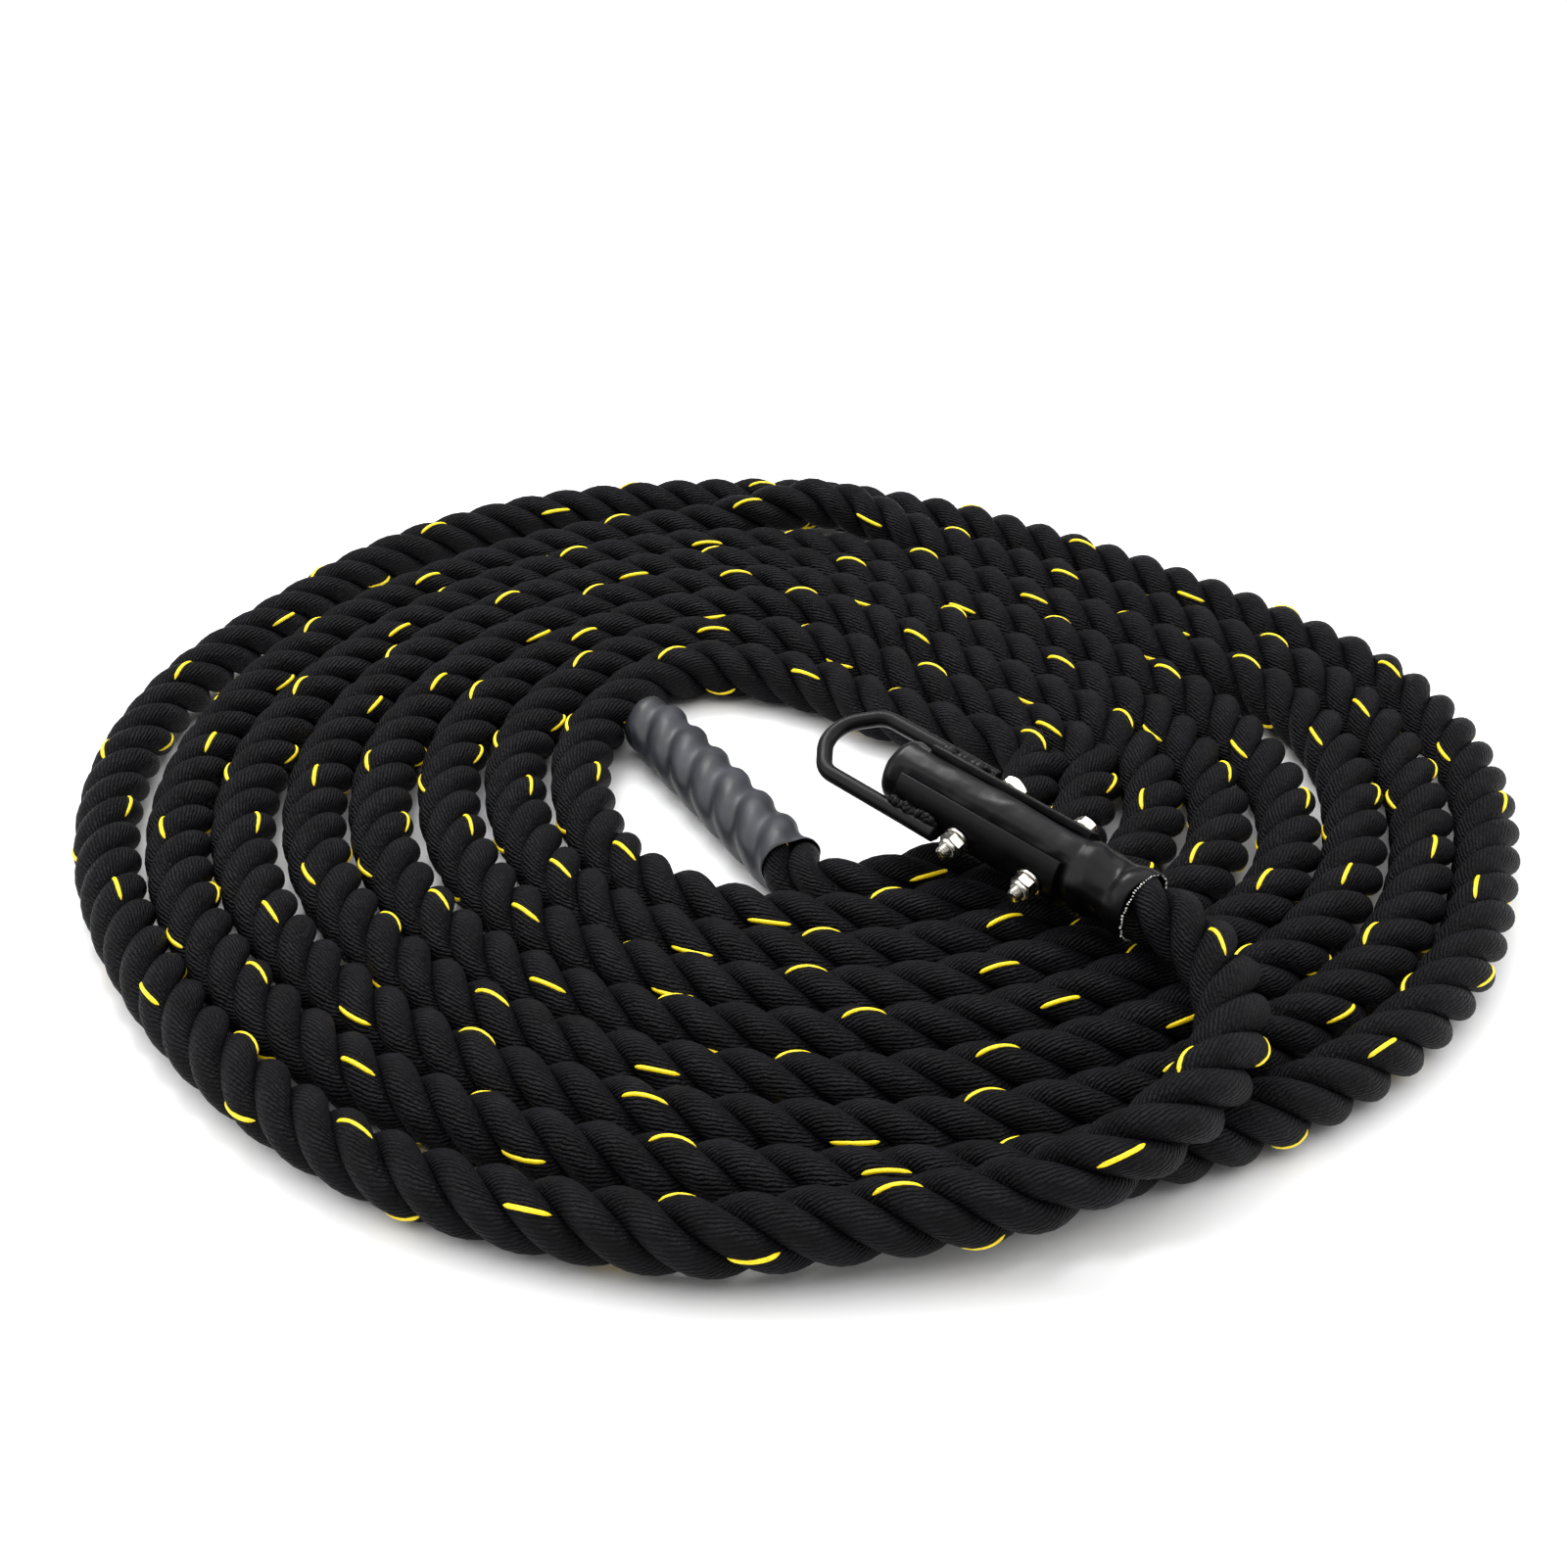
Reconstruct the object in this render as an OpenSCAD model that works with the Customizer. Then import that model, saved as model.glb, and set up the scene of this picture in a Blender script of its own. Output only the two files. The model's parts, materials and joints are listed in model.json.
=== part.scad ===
// Climbing rope with a steel hanging bracket, coiled flat on the floor.
// Millimetres, +Z up. The origin is on the floor at the middle of the coil,
// with +X to the right and +Y away from the viewer.

/* [Rope] */
// Rope diameter across the strand crowns
rope_d = 38; // [25:1:50]
// Number of turns lying side by side in the coil
coil_turns = 8; // [3:1:12]
// Radius of the innermost turn's centre line
coil_inner_r = 151; // [120:1:240]
// Distance from one turn to the next
coil_pitch = 37.6; // [24:0.2:50]
// Thickness of the bed where the turns flatten on the floor
coil_bed_h = 7; // [3:1:12]

/* [Clamp] */
// Length of each curved clamp plate
plate_len = 112; // [80:1:160]
// Wall thickness of a clamp plate
plate_t = 4.5; // [2:0.5:6]
// Outer radius of the two plates around the rope
plate_r = 22; // [18:0.5:30]
// Half angle of the gap between the plates, in degrees
plate_gap_angle = 38; // [20:1:60]
// Distance between the two through bolts
bolt_spacing = 50; // [30:1:70]

/* [Hanging loop] */
// Diameter of the round bar
bar_d = 9.5; // [6:0.5:14]
// Distance of the loop's corners from the clamp's middle
loop_corner_x = 121; // [100:1:160]
// Distance of the loop's apex from the clamp's middle
loop_apex_x = 144; // [110:1:190]
// Bend radius at the corners, to the middle of the bar
corner_bend_r = 15; // [10:1:30]
// Bend radius at the apex, to the middle of the bar
apex_bend_r = 23; // [10:1:30]
// Length of each leg that is welded to its plate
weld_len = 34; // [15:1:50]

/* [Sleeves] */
// Wall thickness of the heat-shrink sleeves
sleeve_t = 1; // [0.5:0.1:2]
// Distance from the clamp's middle to the closed end of the bracket sleeve
sleeve_tip_x = 88; // [80:1:110]
// Distance from the clamp's middle to the mouth of the bracket sleeve
sleeve_mouth_x = 83; // [60:1:120]
// Length of the end cap on the rope's other end
cap_len = 197; // [80:1:260]

/* [Fasteners] */
// Bolt diameter
bolt_d = 8; // [6:1:10]
// Hexagon size across flats
hex_af = 13; // [10:1:17]
// Washer outer diameter
washer_d = 16; // [12:1:24]
// Washer thickness
washer_t = 1.6; // [1:0.1:3]
// Length of the bolt under its head
bolt_len = 60; // [40:5:80]

/* [Placement] */
// Middle of the clamp
clamp_at = [120, -153, 66];
// Heading, tip-up and roll of the clamp, in degrees
clamp_turn = [136, 5, -15];
// Mouth of the end cap, on the cap's axis
cap_mouth = [-4, -112];
// Direction from the mouth to the closed end, in degrees
cap_heading = 118; // [0:1:359]

/* [Hidden] */
$fn = 64;

rope_r = rope_d / 2;
coil_outer_r = coil_inner_r + (coil_turns - 1) * coil_pitch;
leg_y = plate_r + bar_d / 2;
plate_x0 = -40;
plate_x1 = plate_x0 + plate_len;
leg_end_x = plate_x1 - weld_len;
seat_y = plate_r + washer_t;
head_t = 5.3;
nut_hex_t = 6;
nut_t = 8;
insert_t = 1.2;
bolt_hole_r = bolt_d / 2 + 0.3;
cap_r = rope_r + 1.5;
tube_sides = 10;
bend_seat = 0.4;
bend_swell = 0.04;

rope_colour = [0.05, 0.05, 0.055];
steel_black = [0.07, 0.07, 0.075];
sleeve_black = [0.09, 0.09, 0.1];
cap_grey = [0.3, 0.3, 0.32];
nickel = [0.8, 0.79, 0.76];
glue_white = [0.85, 0.85, 0.83];
nylon_white = [0.88, 0.88, 0.85];

// Route of the lead, from the bracket over the turns and down onto the coil
lead_route = [[196, -229, 58], [207, -254, 57.5], [211, -286, 57.5], [206, -320, 57.5],
    [191, -353, 57.5], [168, -380, 56], [141, -398, 50], [112, -407, 42], [82, -412, 35]];
// Route of the tail, from the end cap round to the inner side of the coil
tail_route = [[7, -127, 19], [26, -136, 19], [50, -139, 19], [76, -138, 19], [101, -132, 19],
    [122, -119, 19], [139, -98, 19]];

// Rope radius along the clamp axis: squeezed between the plates, full at the mouth
core_profile = [[86, 0], [86, 10], [80, 17.5], [74, 17.5], [72, plate_r - plate_t - sleeve_t],
    [-40, plate_r - plate_t - sleeve_t], [-46, 18.2], [-56, 19.4], [-65, 18.8], [-74, 19.4], [-83, rope_r]];

function unit(v) = v / norm(v);
function step_at(route, i) = unit(route[min(i + 1, len(route) - 1)] - route[max(i - 1, 0)]);
function side_at(route, i) = unit(cross(step_at(route, i), [0, 0, 1]));
function ring_at(route, i, r) =
    let (side = side_at(route, i), up = cross(side, step_at(route, i)))
    [for (k = [0:tube_sides - 1])
        route[i] + r * (cos(k * 360 / tube_sides) * side + sin(k * 360 / tube_sides) * up)];

// Tube of one radius through the points of a route
module tube_along(route, r) {
    n = tube_sides;
    last = len(route) - 1;
    points = [for (i = [0:last]) each ring_at(route, i, r)];
    walls = [for (i = [0:last - 1], k = [0:n - 1])
        [i * n + k, i * n + (k + 1) % n, (i + 1) * n + (k + 1) % n, (i + 1) * n + k]];
    start = [for (k = [n - 1:-1:0]) k];
    end = [for (k = [0:n - 1]) last * n + k];
    polyhedron(points = points, faces = concat([start], walls, [end]), convexity = 6);
}

// Places a piece of the clamp: X along the rope to the loop, Y to the nuts
module on_clamp() {
    translate(clamp_at)
        rotate([0, 0, clamp_turn[0]])
            rotate([0, -clamp_turn[1], 0])
                rotate([clamp_turn[2], 0, 0])
                    children();
}

// Places a piece of the end cap: X from the mouth to the closed end
module on_cap() {
    translate([cap_mouth[0], cap_mouth[1], cap_r])
        rotate([0, 0, cap_heading])
            children();
}

// Turns a profile of [x, radius] points about the X axis
module turned(profile) {
    rotate([0, 90, 0])
        rotate_extrude()
            polygon([for (p = profile) [p[1], p[0]]]);
}

// Repeats a fastener at both bolts, with its axis Z along the bolt towards the nut
module at_bolts() {
    for (x = [-bolt_spacing / 2, bolt_spacing / 2])
        translate([x, 0, 0])
            rotate([-90, 0, 0])
                children();
}

module bolt_holes(r) {
    at_bolts()
        cylinder(r = r, h = 4 * plate_r, center = true);
}

module rope_coil() {
    color(rope_colour)
        rotate_extrude($fn = 96)
            union() {
                for (i = [0:coil_turns - 1])
                    translate([coil_inner_r + i * coil_pitch, rope_r])
                        circle(rope_r);
                translate([coil_inner_r, 0])
                    square([coil_outer_r - coil_inner_r, coil_bed_h]);
            }
}

function on_clamp_axis(x) =
    clamp_at + x * [cos(clamp_turn[0]) * cos(clamp_turn[1]),
        sin(clamp_turn[0]) * cos(clamp_turn[1]), sin(clamp_turn[1])];

module rope_lead() {
    color(rope_colour)
        tube_along(concat([on_clamp_axis(-sleeve_mouth_x)], lead_route), rope_r);
}

module rope_tail() {
    color(rope_colour)
        tube_along(concat([[cap_mouth[0], cap_mouth[1], rope_r + 0.5]], tail_route), rope_r);
}

module rope_in_bracket() {
    color(rope_colour)
        on_clamp()
            difference() {
                turned(concat(core_profile, [[-sleeve_mouth_x, 0]]));
                bolt_holes(bolt_hole_r);
            }
}

module rope_in_cap() {
    color(rope_colour)
        on_cap()
            turned([[0, 0], [0, rope_r], [cap_len - 10, rope_r], [cap_len - 3, rope_r - 8],
                [cap_len - 3, 0]]);
}

module bracket_sleeve() {
    outer = [for (p = core_profile) if (p[0] < 80) [p[0], p[1] + sleeve_t]];
    color(sleeve_black)
        on_clamp()
            difference() {
                turned(concat([[sleeve_tip_x, 0], [sleeve_tip_x, 10], [86, 15], [82, 18.5]], outer,
                    [[-sleeve_mouth_x, 0]]));
                turned(concat(core_profile, [[-sleeve_mouth_x - 1, rope_r], [-sleeve_mouth_x - 1, 0]]));
                bolt_holes(bolt_hole_r);
            }
}

module sleeve_adhesive() {
    color(glue_white)
        on_clamp()
            translate([-sleeve_mouth_x - 0.3, 0, 0])
                rotate([0, 90, 0])
                    rotate_extrude()
                        translate([rope_r + 0.7, 0])
                            circle(0.8, $fn = 24);
}

module end_cap() {
    color(cap_grey)
        on_cap()
            turned([[0, rope_r], [0, cap_r], [cap_len - 9, cap_r], [cap_len - 4, cap_r - 3],
                [cap_len - 1, cap_r - 7], [cap_len, cap_r - 12], [cap_len, 0], [cap_len - 3, 0],
                [cap_len - 3, rope_r - 8], [cap_len - 10, rope_r]]);
}

// Curved plate about the +Y side, with two bolt holes
module clamp_plate() {
    difference() {
        translate([plate_x0, 0, 0])
            rotate([90, 0, 90])
                linear_extrude(plate_len)
                    difference() {
                        circle(plate_r);
                        circle(plate_r - plate_t);
                        polygon([[0, 0], [60 * tan(plate_gap_angle), 60], [-60, 60], [-60, -60],
                            [60 * tan(plate_gap_angle), -60]]);
                    }
        bolt_holes(bolt_hole_r);
    }
}

module clamp_plate_near() {
    color(steel_black)
        on_clamp()
            clamp_plate();
}

module clamp_plate_far() {
    color(steel_black)
        on_clamp()
            mirror([0, 1, 0])
                clamp_plate();
}

// Straight bar between two points of the loop's plane, seated a little into the bends
module bar_between(a, b, seat_a, seat_b) {
    d = b - a;
    translate([a[0], a[1], 0])
        rotate([0, 0, atan2(d[1], d[0])])
            rotate([0, 90, 0])
                translate([0, 0, -seat_a])
                    cylinder(d = bar_d, h = norm(d) + seat_a + seat_b);
}

// Bend of the bar: centre, start angle and swept angle
module bar_bend(c, r, from, sweep) {
    translate([c[0], c[1], 0])
        rotate([0, 0, from])
            rotate_extrude(angle = sweep)
                translate([r, 0])
                    circle(d = bar_d + bend_swell);
}

module hanging_loop() {
    slope = atan2(leg_y, loop_apex_x - loop_corner_x);
    cut_c = corner_bend_r * tan(slope / 2);
    cut_a = apex_bend_r * tan(90 - slope);
    leg_to = [loop_corner_x - cut_c, leg_y];
    run_from = [loop_corner_x + cut_c * cos(slope), leg_y - cut_c * sin(slope)];
    run_to = [loop_apex_x - cut_a * cos(slope), cut_a * sin(slope)];
    color(steel_black)
        on_clamp() {
            for (s = [0, 1])
                mirror([0, s, 0]) {
                    bar_between([leg_end_x, leg_y], leg_to, 0, bend_seat);
                    bar_bend([leg_to[0], leg_y - corner_bend_r], corner_bend_r, 90 - slope, slope);
                    bar_between(run_from, run_to, bend_seat, bend_seat);
                }
            bar_bend([loop_apex_x - apex_bend_r / sin(slope), 0], apex_bend_r,
                slope - 90, 2 * (90 - slope));
        }
}

// Row of weld beads in the corner between a leg and its plate
module weld_row(side, level) {
    beads = 9;
    color(steel_black)
        on_clamp()
            for (i = [0:beads - 1])
                translate([leg_end_x + 3 + i * (weld_len - 5) / (beads - 1), side * 23.6, level * 4.4])
                    sphere(2.9, $fn = 24);
}

module weld_near_upper() {
    weld_row(1, 1);
}

module weld_near_lower() {
    weld_row(1, -1);
}

module weld_far_upper() {
    weld_row(-1, 1);
}

module weld_far_lower() {
    weld_row(-1, -1);
}

// Hexagon with its outer corners turned off
module hex_body(h) {
    intersection() {
        cylinder(d = hex_af / cos(30), h = h, $fn = 6);
        cylinder(d1 = hex_af / cos(30) - 0.2, d2 = hex_af * 0.98, h = h, $fn = 48);
    }
}

module hex_bolts() {
    color(nickel)
        on_clamp()
            at_bolts() {
                translate([0, 0, -seat_y])
                    cylinder(d = bolt_d, h = bolt_len);
                translate([0, 0, -seat_y])
                    mirror([0, 0, 1])
                        hex_body(head_t);
            }
}

module washer() {
    difference() {
        cylinder(d = washer_d, h = washer_t);
        translate([0, 0, -1])
            cylinder(r = bolt_hole_r, h = washer_t + 2);
    }
}

module head_washers() {
    color(nickel)
        on_clamp()
            at_bolts()
                translate([0, 0, -seat_y])
                    washer();
}

module nut_washers() {
    color(nickel)
        on_clamp()
            at_bolts()
                translate([0, 0, plate_r])
                    washer();
}

module lock_nuts() {
    color(nickel)
        on_clamp()
            at_bolts()
                translate([0, 0, seat_y])
                    difference() {
                        union() {
                            hex_body(nut_hex_t);
                            cylinder(d = hex_af * 0.9, h = nut_t);
                        }
                        translate([0, 0, -1])
                            cylinder(d = bolt_d + 0.1, h = nut_t + 2);
                        translate([0, 0, nut_t - insert_t])
                            cylinder(d = bolt_d + 2, h = insert_t + 1);
                    }
}

module nylon_inserts() {
    color(nylon_white)
        on_clamp()
            at_bolts()
                translate([0, 0, seat_y + nut_t - insert_t])
                    difference() {
                        cylinder(d = bolt_d + 2, h = insert_t);
                        translate([0, 0, -1])
                            cylinder(d = bolt_d, h = insert_t + 2);
                    }
}

rope_coil();
rope_lead();
rope_tail();
rope_in_bracket();
rope_in_cap();
bracket_sleeve();
sleeve_adhesive();
end_cap();
clamp_plate_near();
clamp_plate_far();
hanging_loop();
weld_near_upper();
weld_near_lower();
weld_far_upper();
weld_far_lower();
hex_bolts();
head_washers();
nut_washers();
lock_nuts();
nylon_inserts();
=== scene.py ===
import bmesh
import bpy
import json
import math
from mathutils import Matrix, Vector, noise


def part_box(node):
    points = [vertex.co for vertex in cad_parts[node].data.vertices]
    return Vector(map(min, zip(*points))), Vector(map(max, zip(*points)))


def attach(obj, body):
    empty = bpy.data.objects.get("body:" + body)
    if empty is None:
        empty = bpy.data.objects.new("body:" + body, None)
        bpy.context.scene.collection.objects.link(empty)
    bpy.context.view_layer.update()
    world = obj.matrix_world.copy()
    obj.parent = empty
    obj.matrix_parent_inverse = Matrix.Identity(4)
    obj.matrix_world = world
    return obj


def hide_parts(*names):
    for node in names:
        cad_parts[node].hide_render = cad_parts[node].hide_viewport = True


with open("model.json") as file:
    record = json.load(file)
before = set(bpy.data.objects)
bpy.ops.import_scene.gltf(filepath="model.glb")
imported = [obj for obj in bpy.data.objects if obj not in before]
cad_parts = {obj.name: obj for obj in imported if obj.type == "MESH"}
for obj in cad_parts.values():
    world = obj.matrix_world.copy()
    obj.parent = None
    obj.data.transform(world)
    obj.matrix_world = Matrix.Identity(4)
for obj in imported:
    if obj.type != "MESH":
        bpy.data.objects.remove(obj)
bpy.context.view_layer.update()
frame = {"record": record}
scene = bpy.context.scene
scene.view_settings.view_transform = "Standard"


def linear(hexColour):
    channels = [int(hexColour[i:i + 2], 16) / 255 for i in (1, 3, 5)]
    return (*[c / 12.92 if c <= 0.04045 else ((c + 0.055) / 1.055) ** 2.4 for c in channels], 1.0)


def addNode(tree, kind, settings=None, links=None, stops=()):
    made = tree.nodes.new(kind)
    for key, value in (settings or {}).items():
        setattr(made, key, value)
    for i, (at, colour) in enumerate(stops):  # a colour ramp's stops
        element = made.color_ramp.elements[i] if i < 2 else made.color_ramp.elements.new(at)
        element.position, element.color = at, linear(colour)
    for key, value in (links or {}).items():
        if isinstance(value, bpy.types.NodeSocket):
            tree.links.new(value, made.inputs[key])
        else:
            made.inputs[key].default_value = value
    return made


def centreOf(node):
    low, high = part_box(node)
    return (low + high) / 2


def smoothRoute(points, spans):
    route = []
    for i in range(len(points) - 1):
        a, b, c, d = (points[min(max(k, 0), len(points) - 1)] for k in (i - 1, i, i + 1, i + 2))
        for j in range(spans):
            u = j / spans
            route.append(0.5 * (2 * b + (c - a) * u + (2 * a - 5 * b + 4 * c - d) * u * u
                                + (3 * b - a - 3 * c + d) * u ** 3))
    return route + [points[-1]]


def between(stations, x):
    # a smooth value at x through stations of (x, value)
    x = min(max(x, stations[0][0]), stations[-1][0])
    i = max(k for k in range(len(stations) - 1) if stations[k][0] <= x)
    (x0, a), (x1, b) = stations[i], stations[i + 1]
    before, after = stations[max(i - 1, 0)], stations[min(i + 2, len(stations) - 1)]
    leave = (b - before[1]) / (x1 - before[0]) * (x1 - x0) if i > 0 else 0
    arrive = (after[1] - a) / (after[0] - x0) * (x1 - x0) if i < len(stations) - 2 else 0
    u = (x - x0) / (x1 - x0)
    return (a * (1 + 2 * u) * (1 - u) ** 2 + leave * u * (1 - u) ** 2
            + b * u * u * (3 - 2 * u) + arrive * u * u * (u - 1))


def evenRoute(points, step):
    lengths = [0.0]
    for a, b in zip(points, points[1:]):
        lengths.append(lengths[-1] + (b - a).length)
    count = round(lengths[-1] / step)
    route, k = [], 0
    for i in range(count + 1):
        want = lengths[-1] * i / count
        while k < len(points) - 2 and lengths[k + 1] < want:
            k += 1
        part = (want - lengths[k]) / (lengths[k + 1] - lengths[k])
        route.append(points[k].lerp(points[k + 1], part))
    return route, lengths[-1]


# camera
camera = {"place": (-0.008, -1.1344, 0.6832), "tilt": 59.24, "lens": 49.0, "sensor": 36.0}
lens = bpy.data.cameras.new("camera")
lens.sensor_fit = "HORIZONTAL"
lens.sensor_width = camera["sensor"]
lens.lens = camera["lens"]
viewer = bpy.data.objects.new("camera", lens)
viewer.location = camera["place"]
viewer.rotation_euler = (math.radians(camera["tilt"]), 0, 0)
scene.collection.objects.link(viewer)
scene.camera = viewer
print("camera made")


# the clamp's own frame: X along the rope to the loop, Y to the nuts, Z up
headSide, nutSide = centreOf("head_washers"), centreOf("nut_washers")
clampMiddle = (headSide + nutSide) / 2
hangPoint = next(m for m in frame["record"]["mounts"] if m["name"] == "hang_point")
clampY = (nutSide - headSide).normalized()
clampX = Vector(hangPoint["axis"])
clampX = (clampX - clampY * clampX.dot(clampY)).normalized()
clampZ = clampX.cross(clampY)
onClamp = Matrix.Translation(clampMiddle) @ Matrix((clampX, clampY, clampZ)).transposed().to_4x4()


# rope
rope = {
    "diameter": 0.0375,
    "layLength": 0.0885,  # one full turn of a strand
    "strandOffset": 0.0101,
    "strandRadius": 0.0087,
    "ringStep": 0.0045,
    "sides": 20,
    "phase": 0.0,
    "wrapLength": 0.0409,  # a yarn goes once round its strand in this length of strand
    "yarnsAround": 20,
    "yarnStretch": 1.68,  # a yarn's own length for each length of strand
    "yarnStep": 0.0022,
    "markRadius": 0.0013,
    "markSink": 0.0006,
    "markShown": 0.16,  # cosine of the angle from the rope's outside at which the yarn dives in
    "markStart": 0.014,  # none inside the sleeve's mouth
}
lead = [(0.196, -0.229, 0.058), (0.207, -0.254, 0.0575), (0.211, -0.286, 0.0575),
        (0.206, -0.320, 0.0575), (0.191, -0.353, 0.0575), (0.168, -0.380, 0.056),
        (0.141, -0.398, 0.050), (0.112, -0.407, 0.042), (0.082, -0.412, 0.035)]
tail = [(0.126, -0.077, 0.019), (0.108, -0.098, 0.019), (0.087, -0.114, 0.019),
        (0.064, -0.127, 0.019), (0.044, -0.134, 0.019), (0.022, -0.136, 0.019),
        (0.0045, -0.1275, 0.019)]
coil = {
    "middle": (0.012, -0.003),
    "turns": 7.78,
    "perTurn": 60,
    "radius": 0.4155,  # of the outermost turn where the lead comes down
    "inward": 0.036,  # per turn
    "swell": 0.044,  # the outer turns are wider at the back
    "oval": 0.006,  # the inner turns are a little oval
    "floorHeight": 0.0200,
    "ridePlace": 1.505,  # one turn rides up on the next at the back, in turns from the lead
    "rideSpread": 0.028,
    "rideOut": 0.010,
    "rideHeight": 0.020,
    # the turns are pushed in at the back right: share of a turn, metres outward
    "dent": [(0.42, 0), (0.46, -0.004), (0.50, -0.014), (0.54, -0.033), (0.583, -0.050), (0.625, -0.050),
             (0.667, -0.034), (0.708, -0.007), (0.75, 0.003), (0.80, 0.002), (0.86, 0)],
    # more of the same on the outermost and on the innermost turn, whose neighbour follows it by "followed"
    "followed": 0.45,
    "outermost": [(0, 0), (0.04, 0.003), (0.083, 0.004), (0.125, -0.002), (0.167, -0.005), (0.208, -0.001),
                  (0.25, 0.003), (0.29, 0.003), (0.333, -0.002), (0.375, 0.008), (0.417, 0.010),
                  (0.458, 0.002), (0.5, 0), (0.8, 0), (0.833, 0.006), (0.875, 0.008), (1, 0)],
    "innermost": [(0.34, 0), (0.375, 0.004), (0.417, 0), (0.458, -0.020), (0.50, -0.032), (0.54, -0.025),
                  (0.583, -0.014), (0.625, -0.008), (0.664, -0.013), (0.70, -0.019), (0.725, -0.008),
                  (0.75, 0.001), (0.78, -0.012), (0.82, -0.006), (0.86, 0)],
    # single places that stand off: turns from the lead, spread in turns, metres outward
    "nudges": [(1.2, 0.08, 0.005), (2.2, 0.08, 0.009), (3.2, 0.08, 0.006), (4.2, 0.08, 0.002),
               (5.2, 0.08, -0.004), (6.2, 0.08, -0.006), (7.2, 0.08, -0.008), (1.835, 0.06, 0.009),
               (2.835, 0.055, 0.010), (3.835, 0.055, 0.012), (4.835, 0.055, 0.008), (5.835, 0.055, 0.004),
               (3.72, 0.05, -0.014), (4.72, 0.05, -0.014), (5.72, 0.05, -0.010), (6.72, 0.05, -0.006)],
}
capPlace = {"mouth": (-0.004, -0.112, 0.0196), "heading": 118, "length": 0.197, "ropeInside": 0.185}
sleeveMouth = 0.083  # from the clamp's middle


def coilPoint(t):
    angle = math.radians(-90 - 360 * t)
    radius = (coil["radius"] - coil["inward"] * t
              + coil["swell"] * math.sin(math.pi * t) ** 2 * math.exp(-1.2 * t)
              + t / 8 * (coil["oval"] * math.cos(4 * math.pi * t) + 0.0025))
    radius += 0.005 * math.exp(-(t / 0.06) ** 2)  # pushed out where it comes down past the lead
    radius += between(coil["dent"], t % 1)
    radius += between(coil["outermost"], min(t, 1))
    radius += between(coil["innermost"], t % 1) * (1 if t > 7 else coil["followed"] if t > 6 else 0)
    radius += sum(reach * math.exp(-((t - place) / spread) ** 2) for place, spread, reach in coil["nudges"])
    radius += 0.0012 * math.sin(7.3 * t + 1) + 0.0008 * math.sin(17.1 * t)  # small wander of a laid turn
    height = coil["floorHeight"] + 0.0082 * max(0, 1 - t / 0.1) ** 2
    height += 0.0012 * (1 + math.sin(11.7 * t + 0.6)) * min(1, t)
    ride = math.exp(-((t - coil["ridePlace"]) / coil["rideSpread"]) ** 2)
    radius += coil["rideOut"] * ride
    height += coil["rideHeight"] * ride
    return Vector((coil["middle"][0] + radius * math.cos(angle),
                   coil["middle"][1] + radius * math.sin(angle), height))


capWay = Vector((math.cos(math.radians(capPlace["heading"])), math.sin(math.radians(capPlace["heading"])), 0))
corners = [onClamp @ Vector((x, 0, 0)) for x in (-0.076, -0.0795, -sleeveMouth)]
corners += [Vector(p) for p in lead]
corners += [coilPoint(i / coil["perTurn"]) for i in range(1, round(coil["turns"] * coil["perTurn"]))]
corners += [Vector(p) for p in tail]
corners += [Vector(capPlace["mouth"]) + capWay * x
            for x in (0, 0.04, 0.08, 0.12, 0.155, capPlace["ropeInside"])]
ropeRoute, ropeLength = evenRoute(smoothRoute(corners, 8), 0.005)
print("rope route made, length", round(ropeLength, 3), "m")


def setModifier(obj, tree, values):
    modifier = obj.modifiers.new(tree.name, "NODES")
    modifier.node_group = tree
    names = {s.name: s.identifier for s in tree.interface.items_tree
             if s.item_type == "SOCKET" and s.in_out == "INPUT"}
    for name, value in values.items():
        modifier[names[name]] = value


def newTree(name, inputs):
    tree = bpy.data.node_groups.new(name, "GeometryNodeTree")
    tree.interface.new_socket("Geometry", in_out="INPUT", socket_type="NodeSocketGeometry")
    tree.interface.new_socket("Geometry", in_out="OUTPUT", socket_type="NodeSocketGeometry")
    for label, (kind, value) in inputs.items():
        socket = tree.interface.new_socket(label, in_out="INPUT", socket_type="NodeSocket" + kind)
        if value is not None:
            socket.default_value = value
    return tree, addNode(tree, "NodeGroupInput").outputs


def endTree(tree, given, geometry):
    # every tree ends in real geometry of one material
    real = addNode(tree, "GeometryNodeRealizeInstances", None, {"Geometry": geometry}).outputs[0]
    dressed = addNode(tree, "GeometryNodeSetMaterial", None,
                      {"Geometry": real, "Material": given["Material"]}).outputs[0]
    addNode(tree, "NodeGroupOutput", None, {0: dressed})
    return tree


def plainMesh(obj, name):
    bpy.context.view_layer.update()
    ready = obj.evaluated_get(bpy.context.evaluated_depsgraph_get())
    made = bpy.data.objects.new(name, bpy.data.meshes.new_from_object(ready))
    made.data.name = name
    scene.collection.objects.link(made)
    bpy.data.objects.remove(obj)
    return made


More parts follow.
